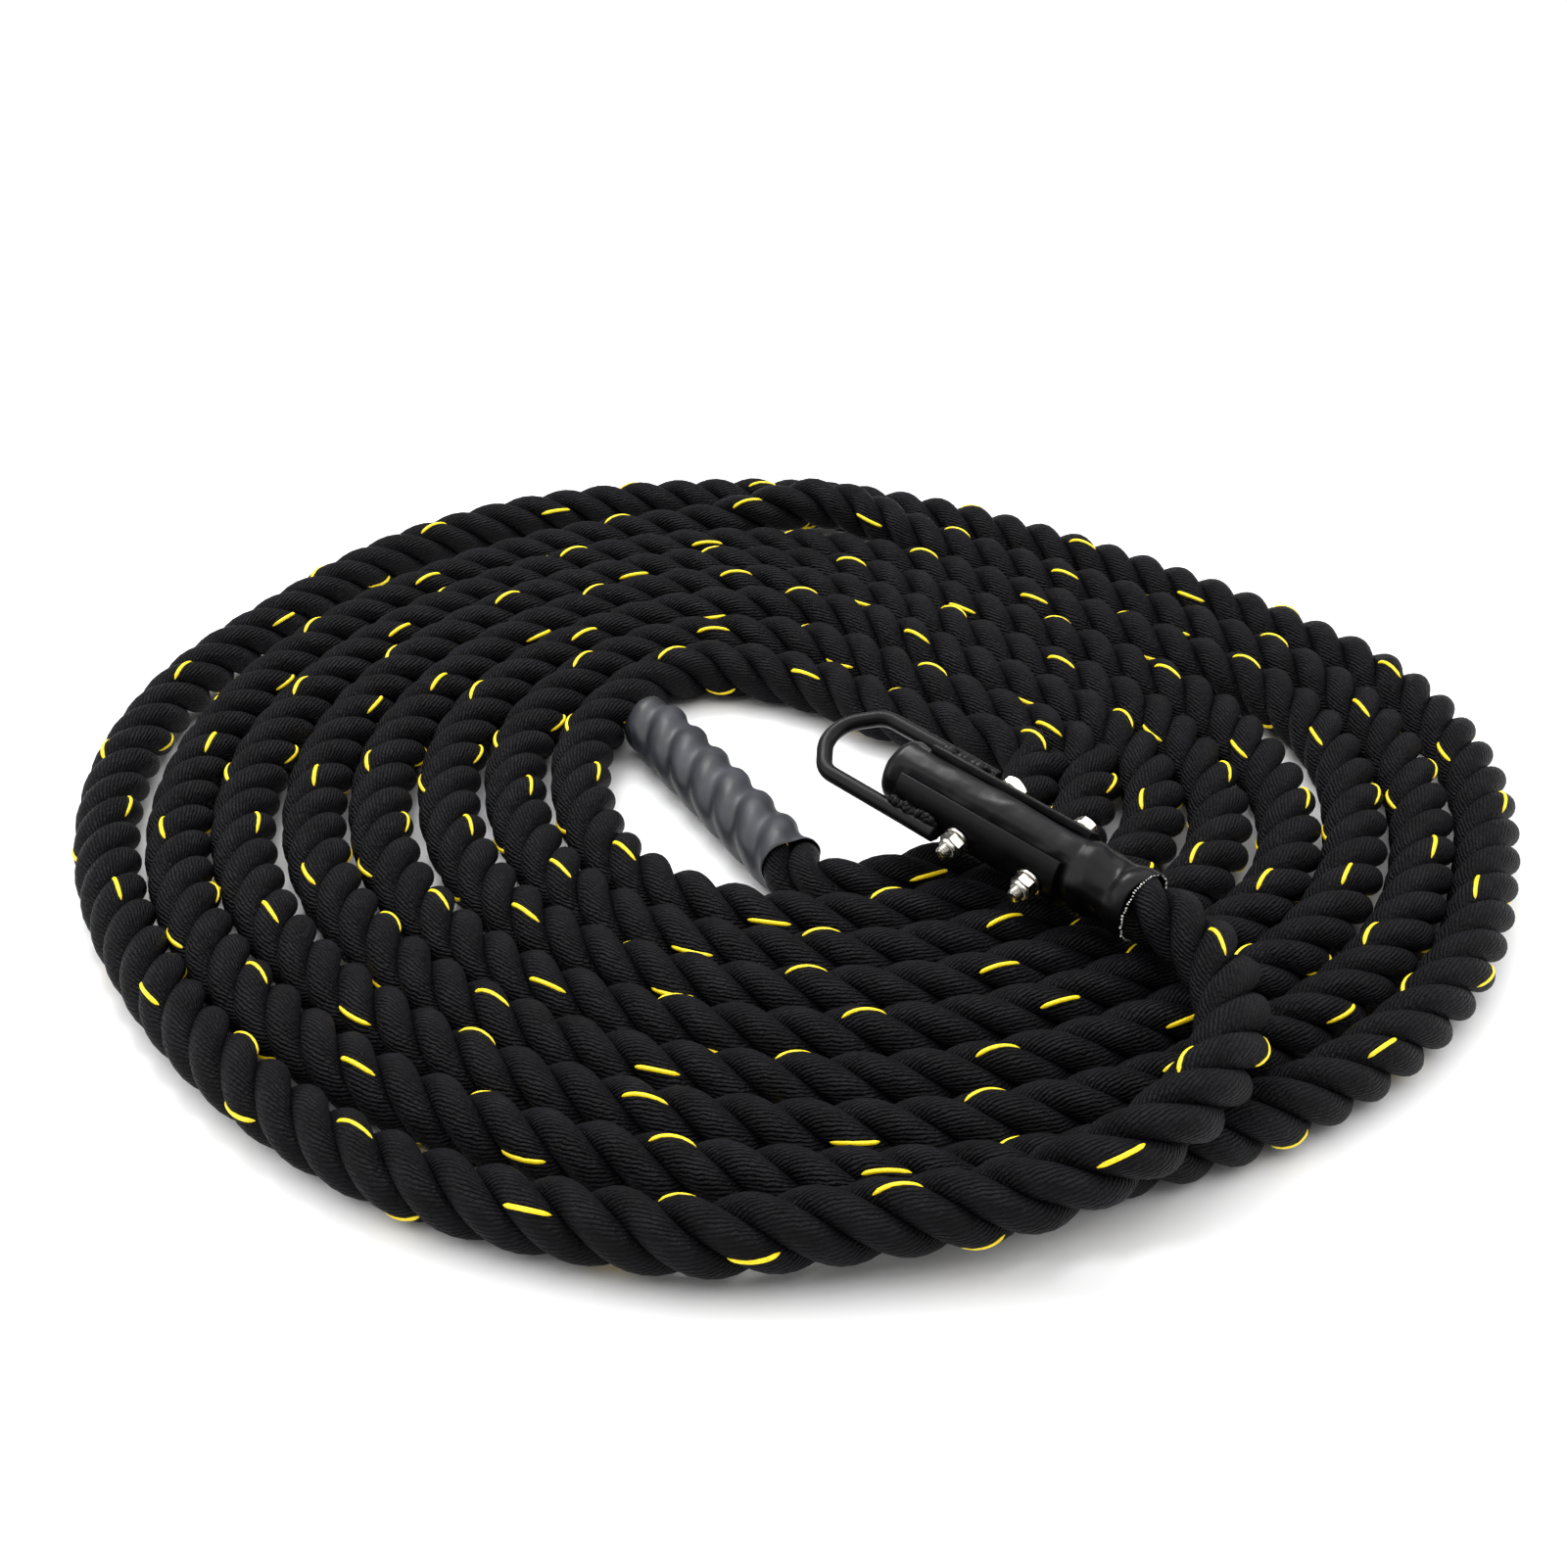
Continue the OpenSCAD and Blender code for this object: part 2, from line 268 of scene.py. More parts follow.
def strandFrame():
    # where a strand's middle stands round the rope, and which way it runs there
    tree = bpy.data.node_groups.new("strandFrame", "GeometryNodeTree")
    for label, kind in (("Tangent", "Vector"), ("Distance", "Float"), ("Lay Length", "Float"),
                        ("Strand Offset", "Float"), ("Phase", "Float")):
        tree.interface.new_socket(label, in_out="INPUT", socket_type="NodeSocket" + kind)
    for label in ("Outward", "Along"):
        tree.interface.new_socket(label, in_out="OUTPUT", socket_type="NodeSocketVector")
    given = addNode(tree, "NodeGroupInput").outputs
    side = addNode(tree, "ShaderNodeVectorMath", {"operation": "CROSS_PRODUCT"},
                   {0: given["Tangent"], 1: (0, 0, 1)}).outputs[0]
    side = addNode(tree, "ShaderNodeVectorMath", {"operation": "NORMALIZE"}, {0: side}).outputs[0]
    turns = addNode(tree, "ShaderNodeMath", {"operation": "DIVIDE"},
                    {0: given["Distance"], 1: given["Lay Length"]}).outputs[0]
    angle = addNode(tree, "ShaderNodeMath", {"operation": "MULTIPLY_ADD"},
                    {0: turns, 1: 2 * math.pi, 2: given["Phase"]}).outputs[0]
    outward = addNode(tree, "ShaderNodeVectorRotate", {"rotation_type": "AXIS_ANGLE"},
                      {"Vector": side, "Axis": given["Tangent"], "Angle": angle}).outputs[0]
    swing = addNode(tree, "ShaderNodeVectorMath", {"operation": "CROSS_PRODUCT"},
                    {0: given["Tangent"], 1: outward}).outputs[0]
    slope = addNode(tree, "ShaderNodeMath", {"operation": "DIVIDE"},
                    {0: given["Strand Offset"], 1: given["Lay Length"]}).outputs[0]
    slope = addNode(tree, "ShaderNodeMath", {"operation": "MULTIPLY"}, {0: slope, 1: 2 * math.pi}).outputs[0]
    swing = addNode(tree, "ShaderNodeVectorMath", {"operation": "SCALE"},
                    {0: swing, "Scale": slope}).outputs[0]
    along = addNode(tree, "ShaderNodeVectorMath", {"operation": "ADD"},
                    {0: given["Tangent"], 1: swing}).outputs[0]
    along = addNode(tree, "ShaderNodeVectorMath", {"operation": "NORMALIZE"}, {0: along}).outputs[0]
    addNode(tree, "NodeGroupOutput", None, {"Outward": outward, "Along": along})
    return tree


frameTree = strandFrame()
stretch = math.hypot(1, 2 * math.pi * rope["strandOffset"] / rope["layLength"])


def ropePosition(tree, given, share):
    # nodes shared by both trees: a point of the rope's route and the strand's middle there
    curve = addNode(tree, "GeometryNodeMeshToCurve", None, {"Mesh": given["Geometry"]}).outputs[0]
    sample = addNode(tree, "GeometryNodeSampleCurve", {"mode": "FACTOR", "use_all_curves": False},
                     {"Curves": curve, "Factor": share}).outputs
    distance = addNode(tree, "ShaderNodeMath", {"operation": "MULTIPLY"},
                       {0: share, 1: given["Rope Length"]}).outputs[0]
    place = addNode(tree, "GeometryNodeGroup", {"node_tree": frameTree},
                    {"Tangent": sample["Tangent"], "Distance": distance, "Lay Length": given["Lay Length"],
                     "Strand Offset": given["Strand Offset"], "Phase": given["Phase"]}).outputs
    shift = addNode(tree, "ShaderNodeVectorMath", {"operation": "SCALE"},
                    {0: place["Outward"], "Scale": given["Strand Offset"]}).outputs[0]
    middle = addNode(tree, "ShaderNodeVectorMath", {"operation": "ADD"},
                     {0: sample["Position"], 1: shift}).outputs[0]
    strandWay = addNode(tree, "ShaderNodeMath", {"operation": "MULTIPLY"},
                        {0: distance, 1: given["Stretch"]}).outputs[0]
    return middle, place, strandWay


sharedInputs = {"Rope Length": ("Float", 1.0), "Lay Length": ("Float", 0.09),
                "Strand Offset": ("Float", 0.01), "Strand Radius": ("Float", 0.009),
                "Phase": ("Float", 0.0), "Stretch": ("Float", 1.2)}


def layStrandTree():
    tree, given = newTree("layStrand", {**sharedInputs, "Rings": ("Int", 100), "Sides": ("Int", 16),
                                        "Material": ("Material", None)})
    columns = addNode(tree, "ShaderNodeMath", {"operation": "ADD"}, {0: given["Sides"], 1: 1}).outputs[0]
    grid = addNode(tree, "GeometryNodeMeshGrid", None,
                   {"Size X": 1.0, "Size Y": 1.0, "Vertices X": given["Rings"],
                    "Vertices Y": columns}).outputs[0]
    here = addNode(tree, "GeometryNodeInputPosition").outputs[0]
    spread = addNode(tree, "ShaderNodeSeparateXYZ", None, {0: here}).outputs
    share = addNode(tree, "ShaderNodeMath", {"operation": "ADD"}, {0: spread["X"], 1: 0.5}).outputs[0]
    turnShare = addNode(tree, "ShaderNodeMath", {"operation": "ADD"}, {0: spread["Y"], 1: 0.5}).outputs[0]
    middle, place, strandWay = ropePosition(tree, given, share)
    girth = addNode(tree, "ShaderNodeMath", {"operation": "MULTIPLY"},
                    {0: given["Strand Radius"], 1: 2 * math.pi}).outputs[0]
    girth = addNode(tree, "ShaderNodeMath", {"operation": "MULTIPLY"}, {0: girth, 1: turnShare}).outputs[0]
    uv = addNode(tree, "ShaderNodeCombineXYZ", None, {"X": strandWay, "Y": girth}).outputs[0]
    mapped = addNode(tree, "GeometryNodeStoreNamedAttribute", {"data_type": "FLOAT2", "domain": "CORNER"},
                     {"Geometry": grid, "Name": "UVMap", "Value": uv}).outputs[0]
    # the first and last rings close to a point
    fromEnd = addNode(tree, "ShaderNodeMath", {"operation": "PINGPONG"}, {0: share, 1: 0.5}).outputs[0]
    fromEnd = addNode(tree, "ShaderNodeMath", {"operation": "MULTIPLY"},
                      {0: fromEnd, 1: given["Rings"]}).outputs[0]
    opening = addNode(tree, "ShaderNodeMath", {"operation": "MINIMUM"}, {0: fromEnd, 1: 1.0}).outputs[0]
    # a strand is a little fuller in one place than in the next
    full = addNode(tree, "ShaderNodeTexNoise", {"noise_dimensions": "2D"},
                   {"Vector": addNode(tree, "ShaderNodeCombineXYZ", None,
                                      {"X": strandWay, "Y": given["Phase"]}).outputs[0],
                    "Scale": 14.0, "Detail": 1.0}).outputs[0]
    full = addNode(tree, "ShaderNodeMapRange", None,
                   {"Value": full, "From Min": 0.2, "From Max": 0.8,
                    "To Min": 0.975, "To Max": 1.025}).outputs[0]
    radius = addNode(tree, "ShaderNodeMath", {"operation": "MULTIPLY"},
                     {0: given["Strand Radius"], 1: full}).outputs[0]
    radius = addNode(tree, "ShaderNodeMath", {"operation": "MULTIPLY"}, {0: radius, 1: opening}).outputs[0]
    angle = addNode(tree, "ShaderNodeMath", {"operation": "MULTIPLY"},
                    {0: turnShare, 1: -2 * math.pi}).outputs[0]
    out = addNode(tree, "ShaderNodeVectorRotate", {"rotation_type": "AXIS_ANGLE"},
                  {"Vector": place["Outward"], "Axis": place["Along"], "Angle": angle}).outputs[0]
    out = addNode(tree, "ShaderNodeVectorMath", {"operation": "SCALE"}, {0: out, "Scale": radius}).outputs[0]
    final = addNode(tree, "ShaderNodeVectorMath", {"operation": "ADD"}, {0: middle, 1: out}).outputs[0]
    moved = addNode(tree, "GeometryNodeSetPosition", None, {"Geometry": mapped, "Position": final}).outputs[0]
    joined = addNode(tree, "GeometryNodeMergeByDistance", None,
                     {"Geometry": moved, "Distance": 1e-5}).outputs[0]
    smooth = addNode(tree, "GeometryNodeSetShadeSmooth", None, {"Geometry": joined}).outputs[0]
    return endTree(tree, given, smooth)


def markYarnTree():
    tree, given = newTree("markYarn", {**sharedInputs, "Points": ("Int", 100), "Wrap Length": ("Float", 0.04),
                                       "Yarn Radius": ("Float", 0.0015), "Sink": ("Float", 0.0006),
                                       "Least Facing": ("Float", 0.3), "Covered Length": ("Float", 0.0),
                                       "Material": ("Material", None)})
    line = addNode(tree, "GeometryNodeMeshLine", {"mode": "END_POINTS", "count_mode": "TOTAL"},
                   {"Count": given["Points"], "Start Location": (0, 0, 0), "Offset": (1, 0, 0)}).outputs[0]
    here = addNode(tree, "GeometryNodeInputPosition").outputs[0]
    share = addNode(tree, "ShaderNodeSeparateXYZ", None, {0: here}).outputs["X"]
    middle, place, strandWay = ropePosition(tree, given, share)
    wraps = addNode(tree, "ShaderNodeMath", {"operation": "DIVIDE"},
                    {0: strandWay, 1: given["Wrap Length"]}).outputs[0]
    angle = addNode(tree, "ShaderNodeMath", {"operation": "MULTIPLY"}, {0: wraps, 1: -2 * math.pi}).outputs[0]
    out = addNode(tree, "ShaderNodeVectorRotate", {"rotation_type": "AXIS_ANGLE"},
                  {"Vector": place["Outward"], "Axis": place["Along"], "Angle": angle}).outputs[0]
    depth = addNode(tree, "ShaderNodeMath", {"operation": "SUBTRACT"},
                    {0: given["Strand Radius"], 1: given["Sink"]}).outputs[0]
    reach = addNode(tree, "ShaderNodeVectorMath", {"operation": "SCALE"}, {0: out, "Scale": depth}).outputs[0]
    final = addNode(tree, "ShaderNodeVectorMath", {"operation": "ADD"}, {0: middle, 1: reach}).outputs[0]
    # only the crossings on the outside of the rope are made
    facing = addNode(tree, "ShaderNodeMath", {"operation": "COSINE"}, {0: angle}).outputs[0]
    covered = addNode(tree, "ShaderNodeMath", {"operation": "LESS_THAN"},
                      {0: strandWay, 1: given["Covered Length"]}).outputs[0]
    facing = addNode(tree, "ShaderNodeMath", {"operation": "MULTIPLY_ADD"},
                     {0: covered, 1: -3.0, 2: facing}).outputs[0]
    kept = addNode(tree, "GeometryNodeStoreNamedAttribute", {"data_type": "FLOAT", "domain": "POINT"},
                   {"Geometry": line, "Name": "facing", "Value": facing}).outputs[0]
    moved = addNode(tree, "GeometryNodeSetPosition", None, {"Geometry": kept, "Position": final}).outputs[0]
    stored = addNode(tree, "GeometryNodeInputNamedAttribute", {"data_type": "FLOAT"},
                     {"Name": "facing"}).outputs[0]
    hidden = addNode(tree, "FunctionNodeCompare", {"data_type": "FLOAT", "operation": "LESS_THAN"},
                     {0: stored, 1: given["Least Facing"]}).outputs[0]
    shown = addNode(tree, "GeometryNodeDeleteGeometry", {"domain": "POINT"},
                    {"Geometry": moved, "Selection": hidden}).outputs[0]
    # the yarn thins where it dives between the strands
    reachIn = addNode(tree, "ShaderNodeMath", {"operation": "ADD"},
                      {0: given["Least Facing"], 1: 0.4}).outputs[0]
    thin = addNode(tree, "ShaderNodeMapRange", None,
                   {"Value": stored, "From Min": given["Least Facing"], "From Max": reachIn,
                    "To Min": 0.2, "To Max": 1.0}).outputs[0]
    curve = addNode(tree, "GeometryNodeMeshToCurve", None, {"Mesh": shown}).outputs[0]
    profile = addNode(tree, "GeometryNodeCurvePrimitiveCircle", None,
                      {"Resolution": 8, "Radius": given["Yarn Radius"]}).outputs[0]
    tube = addNode(tree, "GeometryNodeCurveToMesh", None,
                   {"Curve": curve, "Profile Curve": profile, "Scale": thin, "Fill Caps": True}).outputs[0]
    smooth = addNode(tree, "GeometryNodeSetShadeSmooth", None, {"Geometry": tube}).outputs[0]
    return endTree(tree, given, smooth)


# materials, each a Principled shader with patterns in the object's own metres
def newMaterial(name):
    material = bpy.data.materials.new(name)
    material.use_nodes = True
    tree = material.node_tree
    tree.nodes.clear()
    shader = addNode(tree, "ShaderNodeBsdfPrincipled")
    addNode(tree, "ShaderNodeOutputMaterial", None, {"Surface": shader.outputs[0]})
    return material, tree, shader


def polyesterYarn():
    # spun black polyester: twisted yarns with a dull bluish sheen on their crowns, partly from the shader's
    # sheen and partly a painted bluish highlight, with painted shade in the valleys between yarns
    material, tree, shader = newMaterial("blackPolyesterYarn")
    uv = addNode(tree, "ShaderNodeUVMap", {"uv_map": "UVMap"}).outputs[0]
    spread = addNode(tree, "ShaderNodeSeparateXYZ", None, {0: uv}).outputs
    girth = 2 * math.pi * rope["strandRadius"]
    # each yarn takes a twentieth of the strand's girth, 2.7 mm
    across = addNode(tree, "ShaderNodeMath", {"operation": "MULTIPLY"},
                     {0: spread["Y"], 1: rope["yarnsAround"] / girth}).outputs[0]
    along = addNode(tree, "ShaderNodeMath", {"operation": "MULTIPLY"},
                    {0: spread["X"], 1: -rope["yarnsAround"] / rope["wrapLength"]}).outputs[0]
    lane = addNode(tree, "ShaderNodeMath", {"operation": "ADD"}, {0: across, 1: along}).outputs[0]
    place = addNode(tree, "ShaderNodeTexCoord").outputs["Object"]
    sway = addNode(tree, "ShaderNodeTexNoise", None,
                   {"Vector": place, "Scale": 220.0, "Detail": 2.0}).outputs[0]
    lane = addNode(tree, "ShaderNodeMath", {"operation": "MULTIPLY_ADD"},
                   {0: sway, 1: 1.1, 2: lane}).outputs[0]
    turn = addNode(tree, "ShaderNodeMath", {"operation": "MULTIPLY"}, {0: lane, 1: math.pi}).outputs[0]
    wave = addNode(tree, "ShaderNodeMath", {"operation": "SINE"}, {0: turn}).outputs[0]
    ridge = addNode(tree, "ShaderNodeMath", {"operation": "ABSOLUTE"}, {0: wave}).outputs[0]
    # filaments as grain of about 0.7 mm
    fibre = addNode(tree, "ShaderNodeTexNoise", None,
                    {"Vector": place, "Scale": 1400.0, "Detail": 2.0}).outputs[0]
    broken = addNode(tree, "ShaderNodeTexNoise", None,
                     {"Vector": place, "Scale": 420.0, "Detail": 1.0}).outputs[0]
    full = addNode(tree, "ShaderNodeMath", {"operation": "MULTIPLY"}, {0: ridge, 1: broken}).outputs[0]
    height = addNode(tree, "ShaderNodeMath", {"operation": "MULTIPLY_ADD"},
                     {0: fibre, 1: 0.3, 2: full}).outputs[0]
    patch = addNode(tree, "ShaderNodeTexNoise", None,
                    {"Vector": place, "Scale": 60.0, "Detail": 3.0}).outputs[0]
    # painted shade and highlight: the colour goes black in the valleys between yarns and a lighter bluish
    # grey on their crowns, with random patches of tone
    paintedCrownLightAndPatch = addNode(tree, "ShaderNodeMath", {"operation": "MULTIPLY"}, {0: ridge, 1: patch}).outputs[0]
    colour = addNode(tree, "ShaderNodeValToRGB", None, {"Fac": paintedCrownLightAndPatch},
                     [(0.0, "#000000"), (0.2, "#040405"), (0.45, "#0d0d10"), (0.7, "#1a1a20")]).outputs[0]
    tree.links.new(colour, shader.inputs["Base Color"])
    bump = addNode(tree, "ShaderNodeBump", None,
                   {"Height": height, "Distance": 0.0016, "Strength": 1.0}).outputs[0]
    tree.links.new(bump, shader.inputs["Normal"])
    shader.inputs["Roughness"].default_value = 0.55
    shader.inputs["Specular IOR Level"].default_value = 0.09
    shader.inputs["Sheen Weight"].default_value = 0.008
    shader.inputs["Sheen Roughness"].default_value = 0.5
    shader.inputs["Sheen Tint"].default_value = linear("#a9a9c8")
    return material


def markPolyester():
    # dyed yellow polyester yarn: slightly glossy and a little uneven in tone, its brightness partly a painted
    # glow
    material, tree, shader = newMaterial("yellowPolyesterYarn")
    place = addNode(tree, "ShaderNodeTexCoord").outputs["Object"]
    strands = addNode(tree, "ShaderNodeTexNoise", None,
                      {"Vector": place, "Scale": 700.0, "Detail": 2.0}).outputs[0]
    colour = addNode(tree, "ShaderNodeValToRGB", None, {"Fac": strands},
                     [(0.3, "#e8c400"), (0.5, "#ffdf00"), (0.7, "#fff030")]).outputs[0]
    tree.links.new(colour, shader.inputs["Base Color"])
    bump = addNode(tree, "ShaderNodeBump", None,
                   {"Height": strands, "Distance": 0.0004, "Strength": 0.6}).outputs[0]
    tree.links.new(bump, shader.inputs["Normal"])
    shader.inputs["Roughness"].default_value = 0.5
    # painted light: a faint yellow emission makes the yarn glow, brighter than the lamps alone make it
    shader.inputs["Emission Color"].default_value = linear("#ffd200")
    shader.inputs["Emission Strength"].default_value = 0.12
    return material


def shrinkPolyolefin(name, dark, light, roughness, wrinkle, gloss):
    # heat-shrunk polyolefin tube: satin, with soft blotches and fine creases from shrinking
    material, tree, shader = newMaterial(name)
    place = addNode(tree, "ShaderNodeTexCoord").outputs["Object"]
    blotch = addNode(tree, "ShaderNodeTexNoise", None,
                     {"Vector": place, "Scale": 45.0, "Detail": 3.0}).outputs[0]
    grain = addNode(tree, "ShaderNodeTexNoise", None,
                    {"Vector": place, "Scale": 900.0, "Detail": 2.0}).outputs[0]
    colour = addNode(tree, "ShaderNodeValToRGB", None, {"Fac": blotch},
                     [(0.3, dark), (0.7, light)]).outputs[0]
    tree.links.new(colour, shader.inputs["Base Color"])
    rough = addNode(tree, "ShaderNodeMapRange", None,
                    {"Value": blotch, "From Min": 0.3, "From Max": 0.7,
                     "To Min": roughness - 0.06, "To Max": roughness + 0.08}).outputs[0]
    tree.links.new(rough, shader.inputs["Roughness"])
    crease = addNode(tree, "ShaderNodeTexNoise", None,
                     {"Vector": place, "Scale": 80.0, "Detail": 1.0}).outputs[0]
    soft = addNode(tree, "ShaderNodeBump", None,
                   {"Height": crease, "Distance": wrinkle, "Strength": 0.7}).outputs[0]
    fine = addNode(tree, "ShaderNodeBump", None,
                   {"Height": grain, "Distance": 0.00005, "Strength": 0.5, "Normal": soft}).outputs[0]
    tree.links.new(fine, shader.inputs["Normal"])
    shader.inputs["Specular IOR Level"].default_value = gloss
    return material


def powderCoat():
    # powder-coated steel: semi-gloss black with a faint orange peel and a few paler patches
    material, tree, shader = newMaterial("powderCoatedSteel")
    place = addNode(tree, "ShaderNodeTexCoord").outputs["Object"]
    peel = addNode(tree, "ShaderNodeTexNoise", None,
                   {"Vector": place, "Scale": 700.0, "Detail": 1.0}).outputs[0]
    wear = addNode(tree, "ShaderNodeTexNoise", None,
                   {"Vector": place, "Scale": 70.0, "Detail": 4.0}).outputs[0]
    colour = addNode(tree, "ShaderNodeValToRGB", None, {"Fac": wear},
                     [(0.35, "#030304"), (0.7, "#0a0a0c")]).outputs[0]
    tree.links.new(colour, shader.inputs["Base Color"])
    rough = addNode(tree, "ShaderNodeMapRange", None,
                    {"Value": wear, "From Min": 0.3, "From Max": 0.7,
                     "To Min": 0.3, "To Max": 0.42}).outputs[0]
    tree.links.new(rough, shader.inputs["Roughness"])
    shader.inputs["Specular IOR Level"].default_value = 0.15
    bump = addNode(tree, "ShaderNodeBump", None,
                   {"Height": peel, "Distance": 0.00006, "Strength": 0.6}).outputs[0]
    tree.links.new(bump, shader.inputs["Normal"])
    return material


def nickelPlate():
    # nickel-plated steel: warm bright metal whose polish is slightly uneven
    material, tree, shader = newMaterial("nickelPlatedSteel")
    place = addNode(tree, "ShaderNodeTexCoord").outputs["Object"]
    marks = addNode(tree, "ShaderNodeTexNoise", None,
                    {"Vector": place, "Scale": 500.0, "Detail": 3.0}).outputs[0]
    colour = addNode(tree, "ShaderNodeValToRGB", None, {"Fac": marks},
                     [(0.3, "#b8b4ac"), (0.7, "#dedad2")]).outputs[0]
    tree.links.new(colour, shader.inputs["Base Color"])
    rough = addNode(tree, "ShaderNodeMapRange", None,
                    {"Value": marks, "From Min": 0.3, "From Max": 0.7,
                     "To Min": 0.16, "To Max": 0.3}).outputs[0]
    tree.links.new(rough, shader.inputs["Roughness"])
    shader.inputs["Metallic"].default_value = 1.0
    bump = addNode(tree, "ShaderNodeBump", None,
                   {"Height": marks, "Distance": 0.00004, "Strength": 0.4}).outputs[0]
    tree.links.new(bump, shader.inputs["Normal"])
    return material


def plainPlastic(name, dark, light, roughness):
    # small plastic or glue parts: waxy, slightly uneven in tone
    material, tree, shader = newMaterial(name)
    place = addNode(tree, "ShaderNodeTexCoord").outputs["Object"]
    cloud = addNode(tree, "ShaderNodeTexNoise", None,
                    {"Vector": place, "Scale": 300.0, "Detail": 2.0}).outputs[0]
    colour = addNode(tree, "ShaderNodeValToRGB", None, {"Fac": cloud}, [(0.3, dark), (0.7, light)]).outputs[0]
    tree.links.new(colour, shader.inputs["Base Color"])
    shader.inputs["Roughness"].default_value = roughness
    bump = addNode(tree, "ShaderNodeBump", None,
                   {"Height": cloud, "Distance": 0.0001, "Strength": 0.4}).outputs[0]
    tree.links.new(bump, shader.inputs["Normal"])
    return material


yarnMaterial = polyesterYarn()
markMaterial = markPolyester()
sleeveMaterial = shrinkPolyolefin("blackShrinkPolyolefin", "#050506", "#0d0d10", 0.3, 0.0007, 0.16)
capMaterial = shrinkPolyolefin("greyShrinkPolyolefin", "#1c1d21", "#34353d", 0.46, 0.0005, 0.42)
steelMaterial = powderCoat()
nickelMaterial = nickelPlate()
glueMaterial = plainPlastic("hotMeltAdhesive", "#c9c9c2", "#efefe8", 0.35)
nylonMaterial = plainPlastic("nylonInsert", "#d4d3cb", "#ebeae2", 0.45)
print("materials made")


# strands of the rope
routeMesh = bpy.data.meshes.new("ropeRoute")
routeMesh.from_pydata([tuple(p) for p in ropeRoute], [(i, i + 1) for i in range(len(ropeRoute) - 1)], [])
strandTree, markTree = layStrandTree(), markYarnTree()
shared = {"Rope Length": ropeLength, "Lay Length": rope["layLength"], "Strand Offset": rope["strandOffset"],
          "Strand Radius": rope["strandRadius"], "Stretch": stretch}


def followRoute(name, tree, values):
    worker = bpy.data.objects.new(name + "Route", routeMesh.copy())
    scene.collection.objects.link(worker)
    setModifier(worker, tree, {**shared, **values})
    return plainMesh(worker, name)


strands = []
for k, name in enumerate(("strandOne", "strandTwo", "strandThree")):
    strands.append(followRoute(name, strandTree,
                               {"Phase": rope["phase"] + k * 2 * math.pi / 3,
                                "Rings": round(ropeLength / rope["ringStep"]), "Sides": rope["sides"],
                                "Material": yarnMaterial}))
yarnLength = ropeLength * stretch * rope["yarnStretch"]
markYarn = followRoute("markYarn", markTree,
                       {"Phase": rope["phase"], "Points": round(yarnLength / rope["yarnStep"]),
                        "Wrap Length": rope["wrapLength"], "Yarn Radius": rope["markRadius"],
                        "Sink": rope["markSink"], "Least Facing": rope["markShown"],
                        "Covered Length": rope["markStart"], "Material": markMaterial})
print("rope laid,", [len(o.data.polygons) for o in strands], len(markYarn.data.polygons))


# mesh helpers for the other pieces
def meshObject(name, points, faces, material, place=None, sharp=35):
    mesh = bpy.data.meshes.new(name)
    mesh.from_pydata([tuple(p) for p in points], [], faces)
    mesh.update()
    mesh.shade_smooth()
    mesh.set_sharp_from_angle(angle=math.radians(sharp))
    mesh.materials.append(material)
    if place is not None:
        mesh.transform(place)
    made = bpy.data.objects.new(name, mesh)
    scene.collection.objects.link(made)
    return made


def ringSurface(rings, firstPole=None, lastPole=None):
    # faces between rings of equal count, which run so that the outside is to the right of the way on
    count = len(rings[0])
    points = [p for ring in rings for p in ring]
    faces = []
    for i in range(len(rings) - 1):
        for j in range(count):
            a, b = i * count + j, i * count + (j + 1) % count
            faces.append((a, b, b + count, a + count))
    if firstPole is not None:
        points.append(firstPole)
        faces += [(len(points) - 1, (j + 1) % count, j) for j in range(count)]
    if lastPole is not None:
        points.append(lastPole)
        last = (len(rings) - 1) * count
        faces += [(len(points) - 1, last + j, last + (j + 1) % count) for j in range(count)]
    return points, faces


def faceOutward(obj):
    work = bmesh.new()
    work.from_mesh(obj.data)
    bmesh.ops.remove_doubles(work, verts=work.verts, dist=1e-6)
    bmesh.ops.recalc_face_normals(work, faces=work.faces)
    work.to_mesh(obj.data)
    work.free()
    return obj


# end cap
endCapShape = {
    "crown": 0.0201,  # radius over a strand
    "groove": 0.0169,  # and between two strands
    "wall": 0.0010,
    "lift": 0.0009,  # the cap lies a little above the rope's own middle
    "lining": 0.024,  # how far the inner face is made, seen at the mouth
    "tip": 0.016,  # length of the rounded end
    "rings": 150,
    "sides": 96,
}


